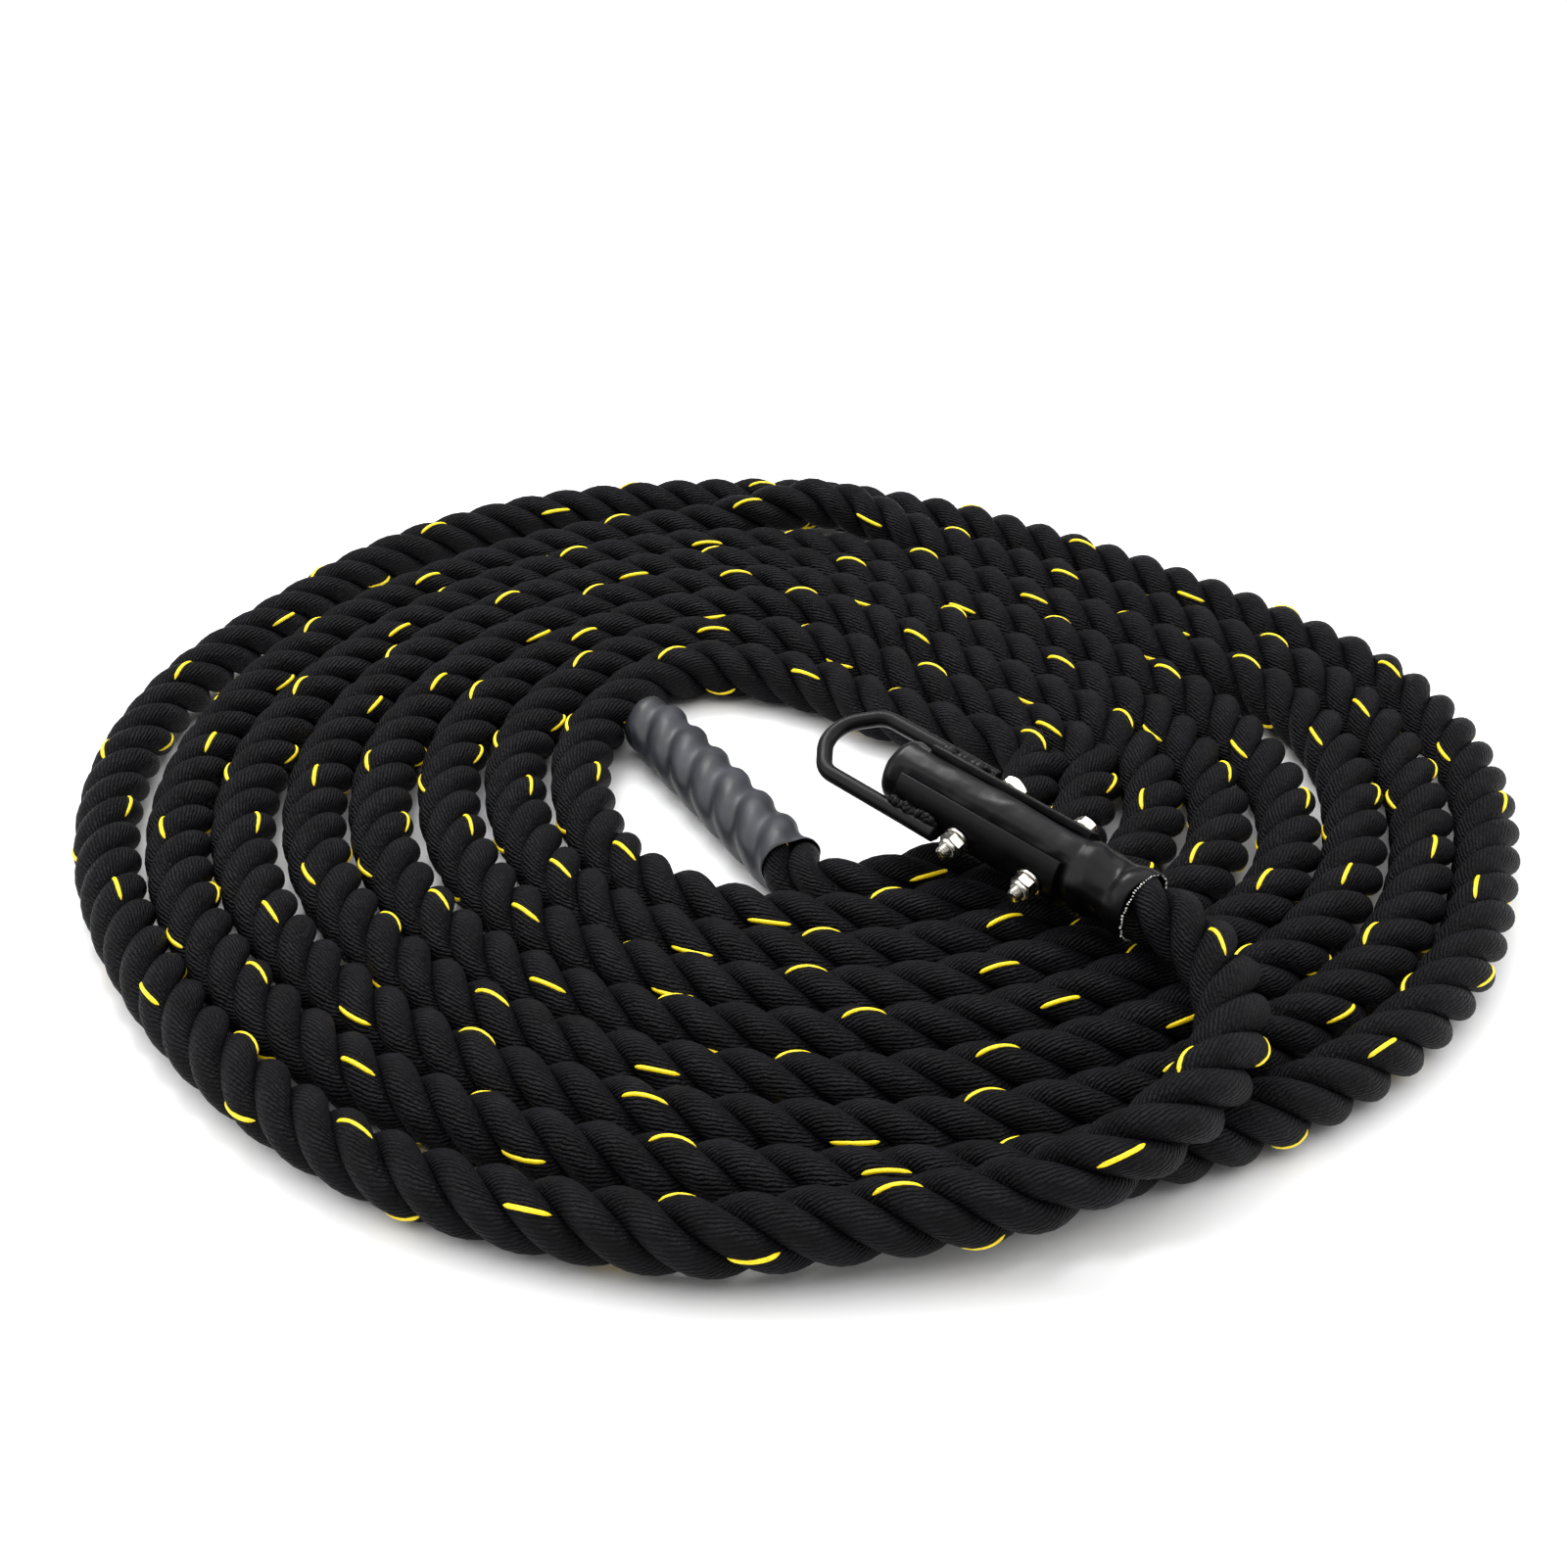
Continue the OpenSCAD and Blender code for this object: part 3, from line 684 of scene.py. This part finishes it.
def capSurface():
    side = capWay.cross(Vector((0, 0, 1)))
    down = capWay.cross(side)
    mouthAt = ropeLength - capPlace["ropeInside"]
    mouth = Vector(capPlace["mouth"]) + Vector((0, 0, endCapShape["lift"]))
    length, tip = capPlace["length"], endCapShape["tip"]
    rings = []

    def ring(x, scale, shrink):
        points = []
        for j in range(endCapShape["sides"]):
            angle = -2 * math.pi * j / endCapShape["sides"]
            crownAngle = 2 * math.pi * (mouthAt + x) / rope["layLength"] + rope["phase"]
            dip = ((1 - math.cos(3 * (angle - crownAngle))) / 2) ** 1.5
            radius = endCapShape["crown"] - (endCapShape["crown"] - endCapShape["groove"]) * dip
            radius += 0.0005 * noise.noise(Vector((x * 30, 2 * math.cos(angle), 2 * math.sin(angle))))
            radius = radius * scale - shrink
            way = side * math.cos(angle) + down * math.sin(angle)
            points.append(mouth + capWay * x + way * radius)
        return points

    for i in range(12):  # inner face, from inside out to the mouth
        rings.append(ring(endCapShape["lining"] * (1 - i / 11), 1.0, endCapShape["wall"]))
    rings.append(ring(-0.0006, 1.0, endCapShape["wall"] * 0.5))
    for i in range(endCapShape["rings"] + 1):
        rings.append(ring((length - tip) * i / endCapShape["rings"], 1.0, 0.0))
    for i in range(1, 13):  # rounded closed end
        turn = math.pi / 2 * i / 13
        rings.append(ring(length - tip + tip * math.sin(turn), 0.2 + 0.8 * math.cos(turn) ** 0.5, 0.0))
    return ringSurface(rings, mouth + capWay * endCapShape["lining"], mouth + capWay * length)


points, faces = capSurface()
endCap = faceOutward(meshObject("endCapSleeve", points, faces, capMaterial, sharp=60))
print("end cap made")


# bracket sleeve
sleeveShape = {
    "sides": 96,
    "rings": 150,
    "between": 0.0174,  # radius under the plates
    "bulge": 0.0201,  # radius in the two gaps between the plates
    "wall": 0.0010,
    "lining": 0.019,  # how far the inner face is made, seen at the mouth
    "shoulder": 0.080,  # where the closed end starts to round off
    "tip": 0.008,
    "gapHalf": 38,  # degrees
    "pressed": (-0.041, 0.076),  # between these places the plates hold the sleeve in
    "dip": 0.0015,  # how far the sleeve sinks between the strands beyond the plates
    "dipWhere": [(-0.077, 0), (-0.070, 1), (-0.050, 1), (-0.040, 0)],
    "spiralFrom": 0.6,  # angle of a strand's crown at the clamp's middle
    # radius along the part beyond the plates: a flared mouth, a neck, a swelling by the plates
    "loose": [(-0.083, 0.0204), (-0.079, 0.0206), (-0.074, 0.0198), (-0.068, 0.0182), (-0.061, 0.0188),
              (-0.053, 0.0207), (-0.047, 0.0202), (-0.042, 0.0188), (0.07, 0.0190), (0.082, 0.0192)],
}


def sleeveRadius(x, angle):
    # angle is measured from up; the rope swells out in the two gaps between the plates
    gap = min(abs(math.degrees(angle)) % 180, 180 - abs(math.degrees(angle)) % 180)
    free = 1 / (1 + math.exp((gap - sleeveShape["gapHalf"] + 12) / 3.5))
    clamped = sleeveShape["between"] + (sleeveShape["bulge"] - sleeveShape["between"]) * free
    crown = sleeveShape["spiralFrom"] - 2 * math.pi * x / rope["layLength"]
    dip = ((1 - math.cos(3 * (angle - crown))) / 2) ** 1.5
    loose = between(sleeveShape["loose"], x) - sleeveShape["dip"] * dip * between(sleeveShape["dipWhere"], x)
    start, end = sleeveShape["pressed"]
    inPlates = 1 / (1 + math.exp(-(x - start) / 0.0022)) * 1 / (1 + math.exp((x - end) / 0.0025))
    radius = loose + (clamped - loose) * inPlates
    spot = Vector((x * 38, 1.6 * math.cos(angle), 1.6 * math.sin(angle)))
    return radius + 0.0011 * noise.noise(spot) + 0.0004 * noise.noise(spot * 2.2)


def sleeveSurface():
    rings = []
    count = sleeveShape["sides"]
    angles = [2 * math.pi * j / count for j in range(count)]

    def ring(x, scale=1.0, shrink=0.0):
        points = []
        for angle in angles:
            signed = (angle + math.pi) % (2 * math.pi) - math.pi
            radius = sleeveRadius(x, signed) * scale - shrink
            lip = 0.0015 * math.sin(angle + 0.6) + 0.0008 * math.sin(3 * angle) if x < -0.07 else 0
            points.append(Vector((x + lip, radius * math.sin(angle), radius * math.cos(angle))))
        return points

    lining, shoulder, tip = sleeveShape["lining"], sleeveShape["shoulder"], sleeveShape["tip"]
    for i in range(8):  # inner face, from inside out to the mouth
        rings.append(ring(-sleeveMouth + lining * (1 - i / 7), 1.0, sleeveShape["wall"]))
    rings.append(ring(-sleeveMouth - 0.0005, 1.0, sleeveShape["wall"] * 0.5))
    for i in range(sleeveShape["rings"] + 1):
        rings.append(ring(-sleeveMouth + (shoulder + sleeveMouth) * i / sleeveShape["rings"]))
    for i in range(1, 11):  # rounded closed end
        turn = math.pi / 2 * i / 11
        rings.append(ring(shoulder + tip * math.sin(turn), 0.45 + 0.55 * math.cos(turn) ** 0.8))
    return ringSurface(rings, Vector((lining - sleeveMouth, 0, 0)), Vector((shoulder + tip + 0.0002, 0, 0)))


points, faces = sleeveSurface()
bracketSleeve = faceOutward(meshObject("bracketSleeveTube", points, faces, sleeveMaterial, onClamp, sharp=60))
print("bracket sleeve made")


# clamp plates
plate = {"from": -0.040, "to": 0.072, "outer": 0.022, "wall": 0.0045, "gapHalf": 38, "steps": 26,
         "edge": 0.0007}


def plateObject(name, sideSign):
    inner = plate["outer"] - plate["wall"]
    angles = [math.radians(plate["gapHalf"] + (180 - 2 * plate["gapHalf"]) * i / plate["steps"])
              for i in range(plate["steps"] + 1)]
    section = [(plate["outer"] * math.sin(a), plate["outer"] * math.cos(a)) for a in angles]
    section += [(inner * math.sin(a), inner * math.cos(a)) for a in reversed(angles)]
    rings = [[Vector((x, sideSign * y, z)) for y, z in section] for x in (plate["from"], plate["to"])]
    points, faces = ringSurface(rings)
    count, last = len(section), 2 * plate["steps"] + 1
    for base in (0, count):
        for i in range(plate["steps"]):
            faces.append((base + i, base + i + 1, base + last - i - 1, base + last - i))
    made = faceOutward(meshObject(name, points, faces, steelMaterial, onClamp, sharp=35))
    bevel = made.modifiers.new("edge", "BEVEL")
    bevel.width = plate["edge"]
    bevel.segments = 3
    bevel.limit_method = "ANGLE"
    bevel.angle_limit = math.radians(50)
    bevel.harden_normals = False
    return made


nearPlate = plateObject("nearClampPlate", 1)
farPlate = plateObject("farClampPlate", -1)


# hanging loop
loop = {"bar": 0.0095, "legEnd": 0.038, "legAcross": 0.02675, "corner": 0.121, "apex": 0.144,
        "cornerBend": 0.015, "apexBend": 0.023, "sides": 28}


def loopSurface():
    slope = math.atan2(loop["legAcross"], loop["apex"] - loop["corner"])
    cutCorner = loop["cornerBend"] * math.tan(slope / 2)
    half = []
    bendStart = loop["corner"] - cutCorner
    for i in range(21):  # leg, from its cut end
        half.append((loop["legEnd"] + (bendStart - loop["legEnd"]) * i / 20, loop["legAcross"]))
    for i in range(1, 13):  # corner bend
        a = slope * i / 12
        half.append((bendStart + loop["cornerBend"] * math.sin(a),
                     loop["legAcross"] - loop["cornerBend"] * (1 - math.cos(a))))
    middle = loop["apex"] - loop["apexBend"] / math.sin(slope)
    for i in range(17):  # half of the apex bend
        a = (math.pi / 2 - slope) * (1 - i / 16)
        half.append((middle + loop["apexBend"] * math.cos(a), loop["apexBend"] * math.sin(a)))
    path = [Vector((x, y, 0)) for x, y in half] + [Vector((x, -y, 0)) for x, y in reversed(half[:-1])]
    rings = []
    radius = loop["bar"] / 2
    for i, p in enumerate(path):
        way = (path[min(i + 1, len(path) - 1)] - path[max(i - 1, 0)]).normalized()
        side = way.cross(Vector((0, 0, 1)))
        rings.append([p + radius * (math.cos(a) * side + math.sin(a) * Vector((0, 0, 1)))
                      for a in [2 * math.pi * j / loop["sides"] for j in range(loop["sides"])]])
    # a small bevel at both cut ends
    first = [path[0] + (p - path[0]) * 0.86 - Vector((0.0006, 0, 0)) for p in rings[0]]
    last = [path[-1] + (p - path[-1]) * 0.86 - Vector((0.0006, 0, 0)) for p in rings[-1]]
    rings = [first] + rings + [last]
    return ringSurface(rings, path[0] - Vector((0.0007, 0, 0)), path[-1] - Vector((0.0007, 0, 0)))


points, faces = loopSurface()
hangingLoop = faceOutward(meshObject("hangingLoopBar", points, faces, steelMaterial, onClamp, sharp=40))
print("plates and loop made")


# weld beads in a row, each a little off its place and its size
def weldTree():
    tree, given = newTree("weldBeads", {"Count": ("Int", 10), "Start": ("Vector", (0, 0, 0)),
                                        "End": ("Vector", (1, 0, 0)), "Bead": ("Float", 0.003),
                                        "Seed": ("Int", 3), "Material": ("Material", None)})
    reach = addNode(tree, "ShaderNodeVectorMath", {"operation": "SUBTRACT"},
                    {0: given["End"], 1: given["Start"]}).outputs[0]
    gaps = addNode(tree, "ShaderNodeMath", {"operation": "SUBTRACT"}, {0: given["Count"], 1: 1}).outputs[0]
    part = addNode(tree, "ShaderNodeMath", {"operation": "DIVIDE"}, {0: 1.0, 1: gaps}).outputs[0]
    step = addNode(tree, "ShaderNodeVectorMath", {"operation": "SCALE"}, {0: reach, "Scale": part}).outputs[0]
    line = addNode(tree, "GeometryNodeMeshLine", {"mode": "OFFSET"},
                   {"Count": given["Count"], "Start Location": given["Start"], "Offset": step}).outputs[0]
    jitter = addNode(tree, "FunctionNodeRandomValue", {"data_type": "FLOAT_VECTOR"},
                     {0: (-0.0009, -0.0006, -0.0009), 1: (0.0009, 0.0006, 0.0009),
                      "Seed": given["Seed"]}).outputs[0]
    points = addNode(tree, "GeometryNodeSetPosition", None, {"Geometry": line, "Offset": jitter}).outputs[0]
    bead = addNode(tree, "GeometryNodeMeshIcoSphere", None,
                   {"Radius": given["Bead"], "Subdivisions": 3}).outputs[0]
    size = addNode(tree, "FunctionNodeRandomValue", {"data_type": "FLOAT_VECTOR"},
                   {0: (0.7, 0.6, 0.6), 1: (1.3, 1.15, 1.15), "Seed": given["Seed"]}).outputs[0]
    turn = addNode(tree, "FunctionNodeRandomValue", {"data_type": "FLOAT_VECTOR"},
                   {0: (-0.3, -0.3, -0.5), 1: (0.3, 0.3, 0.5), "Seed": given["Seed"]}).outputs[0]
    spread = addNode(tree, "GeometryNodeInstanceOnPoints", None,
                     {"Points": points, "Instance": bead, "Rotation": turn, "Scale": size}).outputs[0]
    # the beads are made real before each is pushed out of shape at its own place
    real = addNode(tree, "GeometryNodeRealizeInstances", None, {"Geometry": spread}).outputs[0]
    rough = addNode(tree, "ShaderNodeTexNoise", None, {"Scale": 650.0, "Detail": 2.0}).outputs[0]
    rough = addNode(tree, "ShaderNodeMath", {"operation": "MULTIPLY_ADD"},
                    {0: rough, 1: 0.0022, 2: -0.0011}).outputs[0]
    normal = addNode(tree, "GeometryNodeInputNormal").outputs[0]
    push = addNode(tree, "ShaderNodeVectorMath", {"operation": "SCALE"},
                   {0: normal, "Scale": rough}).outputs[0]
    lumpy = addNode(tree, "GeometryNodeSetPosition", None, {"Geometry": real, "Offset": push}).outputs[0]
    smooth = addNode(tree, "GeometryNodeSetShadeSmooth", None, {"Geometry": lumpy}).outputs[0]
    return endTree(tree, given, smooth)


# fasteners, made once about the clamp's middle and repeated along it
def repeatTree():
    tree, given = newTree("repeatAlongClamp", {"Count": ("Int", 2), "Start": ("Vector", (0, 0, 0)),
                                               "Step": ("Vector", (1, 0, 0)), "Turn": ("Float", 0.5),
                                               "Seed": ("Int", 1), "Material": ("Material", None)})
    line = addNode(tree, "GeometryNodeMeshLine", {"mode": "OFFSET"},
                   {"Count": given["Count"], "Start Location": given["Start"],
                    "Offset": given["Step"]}).outputs[0]
    turn = addNode(tree, "FunctionNodeRandomValue", {"data_type": "FLOAT"},
                   {2: 0.0, 3: given["Turn"], "Seed": given["Seed"]}).outputs[1]
    turn = addNode(tree, "ShaderNodeCombineXYZ", None, {"Y": turn}).outputs[0]
    spread = addNode(tree, "GeometryNodeInstanceOnPoints", None,
                     {"Points": line, "Instance": given["Geometry"], "Rotation": turn}).outputs[0]
    return endTree(tree, given, spread)


def placed(obj):
    obj.data.transform(onClamp)
    return obj


weld = {"from": 0.041, "to": 0.070, "across": 0.0236, "up": 0.0044, "bead": 0.0033, "farBead": 0.0040,
        "count": 22}
beadsTree = weldTree()
welds = {}
for name, sideSign, level, seed in (("weld_near_upper", 1, 1, 3), ("weld_near_lower", 1, -1, 8),
                                    ("weld_far_upper", -1, 1, 5), ("weld_far_lower", -1, -1, 12)):
    worker = bpy.data.objects.new(name + "Points", bpy.data.meshes.new(name + "Points"))
    scene.collection.objects.link(worker)
    setModifier(worker, beadsTree, {
        "Count": weld["count"], "Start": (weld["from"], sideSign * weld["across"], level * weld["up"]),
        "End": (weld["to"], sideSign * weld["across"], level * weld["up"]),
        "Bead": weld["bead"] if sideSign > 0 else weld["farBead"],
        "Seed": seed, "Material": steelMaterial})
    welds[name] = placed(plainMesh(worker, name.replace("_", "") + "Beads"))

fastener = {"bolt": 0.008, "pitch": 0.00125, "flats": 0.013, "washer": 0.016, "washerThick": 0.0016,
            "washerHole": 0.0043, "washerEdge": 0.00018, "seat": 0.0236, "head": 0.0053, "nutHex": 0.006,
            "nut": 0.008, "length": 0.060, "spacing": 0.050,
            "insertHole": 0.0040, "insertOuter": 0.0050, "insertFrom": 0.0068, "insertTo": 0.0079}
circle = [2 * math.pi * j / 72 for j in range(72)]


def hexRadius(angle):
    return fastener["flats"] / 2 / math.cos((angle + math.pi / 6) % (math.pi / 3) - math.pi / 6)


def around(radius, y):
    # one ring about the bolt, whose radius and place may change with the angle
    ring = []
    for a in circle:
        reach = radius(a) if callable(radius) else radius
        ring.append(Vector((reach * math.sin(a), y(a) if callable(y) else y, reach * math.cos(a))))
    return ring


def headObject():
    seat, tall, flat = fastener["seat"], fastener["head"], fastener["flats"]

    def drop(a):  # the chamfer cuts the hexagon's corners lower than its flats
        return (hexRadius(a) - flat * 0.47) * 0.55

    def eased(a):
        return hexRadius(a) * 0.985

    rings = [around(0.0060, -seat), around(eased, -seat), around(hexRadius, -seat - 0.0002),
             around(hexRadius, lambda a: -seat - tall + drop(a)),
             around(eased, lambda a: -seat - tall + drop(a) * 0.75),
             around(flat * 0.47, -seat - tall), around(flat * 0.36, -seat - tall + 0.0001),
             around(flat * 0.2, -seat - tall + 0.0001)]
    points, faces = ringSurface(rings, Vector((0, -seat, 0)), Vector((0, -seat - tall + 0.0001, 0)))
    return faceOutward(meshObject("boltHeadBase", points, faces, nickelMaterial, sharp=25))


def shankObject():
    radius, pitch, tip = fastener["bolt"] / 2, fastener["pitch"], fastener["length"] - fastener["seat"]
    start = fastener["seat"] + fastener["nut"] - 0.003
    rings = [around(radius * 0.9, -fastener["seat"]), around(radius * 0.9, start - 0.001)]
    steps = int((tip - start) / (pitch / 8))
    for i in range(steps + 1):
        y = start + (tip - start) * i / steps
        taper = 0.00055 * max(0, (y - tip + 0.0012) / 0.0012)

        def threaded(a, y=y, taper=taper):
            phase = (y / pitch - a / (2 * math.pi)) % 1
            return radius - 0.0006 * abs(2 * phase - 1) - taper
        rings.append(around(threaded, y))
    rings.append(around(radius * 0.7, tip + 0.0002))
    points, faces = ringSurface(rings, Vector((0, -fastener["seat"], 0)), Vector((0, tip + 0.0002, 0)))
    return faceOutward(meshObject("boltShankBase", points, faces, nickelMaterial, sharp=50))


def nutObject():
    seat, flat, hexTall, tall = fastener["seat"], fastener["flats"], fastener["nutHex"], fastener["nut"]

    def drop(a):
        return (hexRadius(a) - flat * 0.475) * 0.55

    rings = [around(0.0046, seat), around(flat * 0.47, seat), around(hexRadius, lambda a: seat + drop(a)),
             around(hexRadius, lambda a: seat + hexTall - drop(a)),
             around(flat * 0.47, seat + hexTall), around(flat * 0.452, seat + hexTall + 0.0003),
             around(flat * 0.452, seat + tall - 0.0008), around(flat * 0.435, seat + tall - 0.0002),
             around(flat * 0.40, seat + tall), around(0.00505, seat + tall),
             around(0.00495, seat + tall - 0.0003), around(0.00495, seat + tall - 0.0012),
             around(0.0041, seat + tall - 0.0013), around(0.0041, seat)]
    points, faces = ringSurface(rings)
    return faceOutward(meshObject("lockNutBase", points, faces, nickelMaterial, sharp=25))


def ringObject(name, inner, outer, low, high, edge, material):
    rings = [around(inner, low), around(outer - edge, low), around(outer, low + edge),
             around(outer, high - edge), around(outer - edge, high), around(inner + edge, high),
             around(inner, high - edge), around(inner, low)]
    points, faces = ringSurface(rings)
    return faceOutward(meshObject(name, points, faces, material, sharp=30))


copyTree = repeatTree()


def twice(base, name, turn, seed, material):
    setModifier(base, copyTree, {"Count": 2, "Start": (-fastener["spacing"] / 2, 0, 0),
                                 "Step": (fastener["spacing"], 0, 0), "Turn": turn, "Seed": seed,
                                 "Material": material})
    return placed(plainMesh(base, name))


def washerPair(name, low):
    ring = ringObject(name + "Base", fastener["washerHole"], fastener["washer"] / 2, low,
                      low + fastener["washerThick"], fastener["washerEdge"], nickelMaterial)
    return twice(ring, name + "Pair", 0.0, 1, nickelMaterial)


seat = fastener["seat"]
boltHeads = twice(headObject(), "boltHeads", 1.0, 4, nickelMaterial)
boltShanks = twice(shankObject(), "boltShanks", 0.0, 1, nickelMaterial)
lockNuts = twice(nutObject(), "lockNutPair", 1.0, 7, nickelMaterial)
headWashers = washerPair("headWasher", -seat)
nutWashers = washerPair("nutWasher", seat - fastener["washerThick"])
inserts = twice(ringObject("insertBase", fastener["insertHole"], fastener["insertOuter"],
                           seat + fastener["insertFrom"], seat + fastener["insertTo"], 0.00025,
                           nylonMaterial),
                "nylonInsertPair", 0.0, 1, nylonMaterial)
print("welds and fasteners made")


# adhesive squeezed out at the sleeve's mouth
def glueTree():
    tree, given = newTree("glueDots", {"Dots": ("Int", 60), "Ring Radius": ("Float", 0.02),
                                       "Dot": ("Float", 0.0006), "Seed": ("Int", 2),
                                       "Material": ("Material", None)})
    ring = addNode(tree, "GeometryNodeMeshCircle", None,
                   {"Vertices": given["Dots"], "Radius": given["Ring Radius"]}).outputs[0]
    jitter = addNode(tree, "FunctionNodeRandomValue", {"data_type": "FLOAT_VECTOR"},
                     {0: (-0.0004, -0.0004, -0.0004), 1: (0.0004, 0.0004, 0.0004),
                      "Seed": given["Seed"]}).outputs[0]
    points = addNode(tree, "GeometryNodeSetPosition", None, {"Geometry": ring, "Offset": jitter}).outputs[0]
    dot = addNode(tree, "GeometryNodeMeshIcoSphere", None,
                  {"Radius": given["Dot"], "Subdivisions": 2}).outputs[0]
    smooth = addNode(tree, "GeometryNodeSetShadeSmooth", None, {"Geometry": dot}).outputs[0]
    size = addNode(tree, "FunctionNodeRandomValue", {"data_type": "FLOAT_VECTOR"},
                   {0: (0.35, 0.35, 0.5), 1: (1.3, 1.3, 1.2), "Seed": given["Seed"]}).outputs[0]
    spread = addNode(tree, "GeometryNodeInstanceOnPoints", None,
                     {"Points": points, "Instance": smooth, "Scale": size}).outputs[0]
    return endTree(tree, given, spread)


glue = {"dots": 74, "ring": 0.0193, "dot": 0.0006, "seed": 2, "beyondMouth": 0.0007}
worker = bpy.data.objects.new("gluePoints", bpy.data.meshes.new("gluePoints"))
scene.collection.objects.link(worker)
setModifier(worker, glueTree(), {"Dots": glue["dots"], "Ring Radius": glue["ring"], "Dot": glue["dot"],
                                 "Seed": glue["seed"], "Material": glueMaterial})
glueDots = plainMesh(worker, "adhesiveDots")
atMouth = Matrix.Translation((-sleeveMouth - glue["beyondMouth"], 0, 0))
glueDots.data.transform(atMouth @ Matrix.Rotation(math.pi / 2, 4, "Y"))
placed(glueDots)
print("adhesive made")


# which piece stands for which part
stands = [
    (strands[0], ("rope_coil", "rope_lead", "rope_tail", "rope_in_cap", "rope_in_bracket"), "rope"),
    (strands[1], (), "rope"), (strands[2], (), "rope"), (markYarn, (), "rope"),
    (endCap, ("end_cap",), "end_cap"), (bracketSleeve, ("bracket_sleeve",), "bracket_sleeve"),
    (glueDots, ("sleeve_adhesive",), "adhesive"),
    (nearPlate, ("clamp_plate_near",), "black_steel"), (farPlate, ("clamp_plate_far",), "black_steel"),
    (hangingLoop, ("hanging_loop",), "black_steel"),
    (welds["weld_near_upper"], ("weld_near_upper",), "black_steel"),
    (welds["weld_near_lower"], ("weld_near_lower",), "black_steel"),
    (welds["weld_far_upper"], ("weld_far_upper",), "black_steel"),
    (welds["weld_far_lower"], ("weld_far_lower",), "black_steel"),
    (boltHeads, ("hex_bolts",), "plated_steel"), (boltShanks, (), "plated_steel"),
    (headWashers, ("head_washers",), "plated_steel"), (nutWashers, ("nut_washers",), "plated_steel"),
    (lockNuts, ("lock_nuts",), "plated_steel"), (inserts, ("nylon_inserts",), "nylon"),
]
for piece, nodes, slotName in stands:
    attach(piece, "root")
    if nodes:
        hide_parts(*nodes)


# floor and light
studio = {
    "floor": "#fafafa",
    "floorHalf": 25,
    "air": 0.34,
    # each soft panel: name, place, what it looks at, size, power
    "panels": [("overheadPanel", (0, 0.6, 3.0), (0, 0.6, 0), (7.0, 6.5), 250.0),
               ("keyPanel", (-0.5, 1.1, 1.7), (0.1, 0, 0), (1.1, 0.5), 22.0),
               ("leftPanel", (-2.0, -0.2, 1.0), (0, 0, 0), (1.6, 1.2), 14.0),
               ("rightPanel", (2.0, -0.2, 1.0), (0, 0, 0), (1.6, 1.2), 14.0)],
}
floorMesh = bpy.data.meshes.new("studioFloor")
half = studio["floorHalf"]
floorMesh.from_pydata([(-half, -half, 0), (half, -half, 0), (half, half, 0), (-half, half, 0)], [],
                      [(0, 1, 2, 3)])
floorMaterial, floorNodes, floorShader = newMaterial("paleStudioFloor")
floorShader.inputs["Base Color"].default_value = linear(studio["floor"])
floorShader.inputs["Roughness"].default_value = 0.7
floorMesh.materials.append(floorMaterial)
studioFloor = bpy.data.objects.new("studioFloor", floorMesh)
scene.collection.objects.link(studioFloor)
world = bpy.data.worlds.new("studioAir")
world.use_nodes = True
air = world.node_tree.nodes["Background"]
air.inputs["Color"].default_value = (1, 1, 1, 1)
air.inputs["Strength"].default_value = studio["air"]
scene.world = world


def softLight(name, place, aim, size, power):
    lamp = bpy.data.lights.new(name, "AREA")
    lamp.shape = "RECTANGLE"
    lamp.size, lamp.size_y = size
    lamp.energy = power
    holder = bpy.data.objects.new(name, lamp)
    holder.location = place
    holder.rotation_euler = (Vector(aim) - Vector(place)).to_track_quat("-Z", "Y").to_euler()
    scene.collection.objects.link(holder)


for panel in studio["panels"]:
    softLight(*panel)
print("studio made")
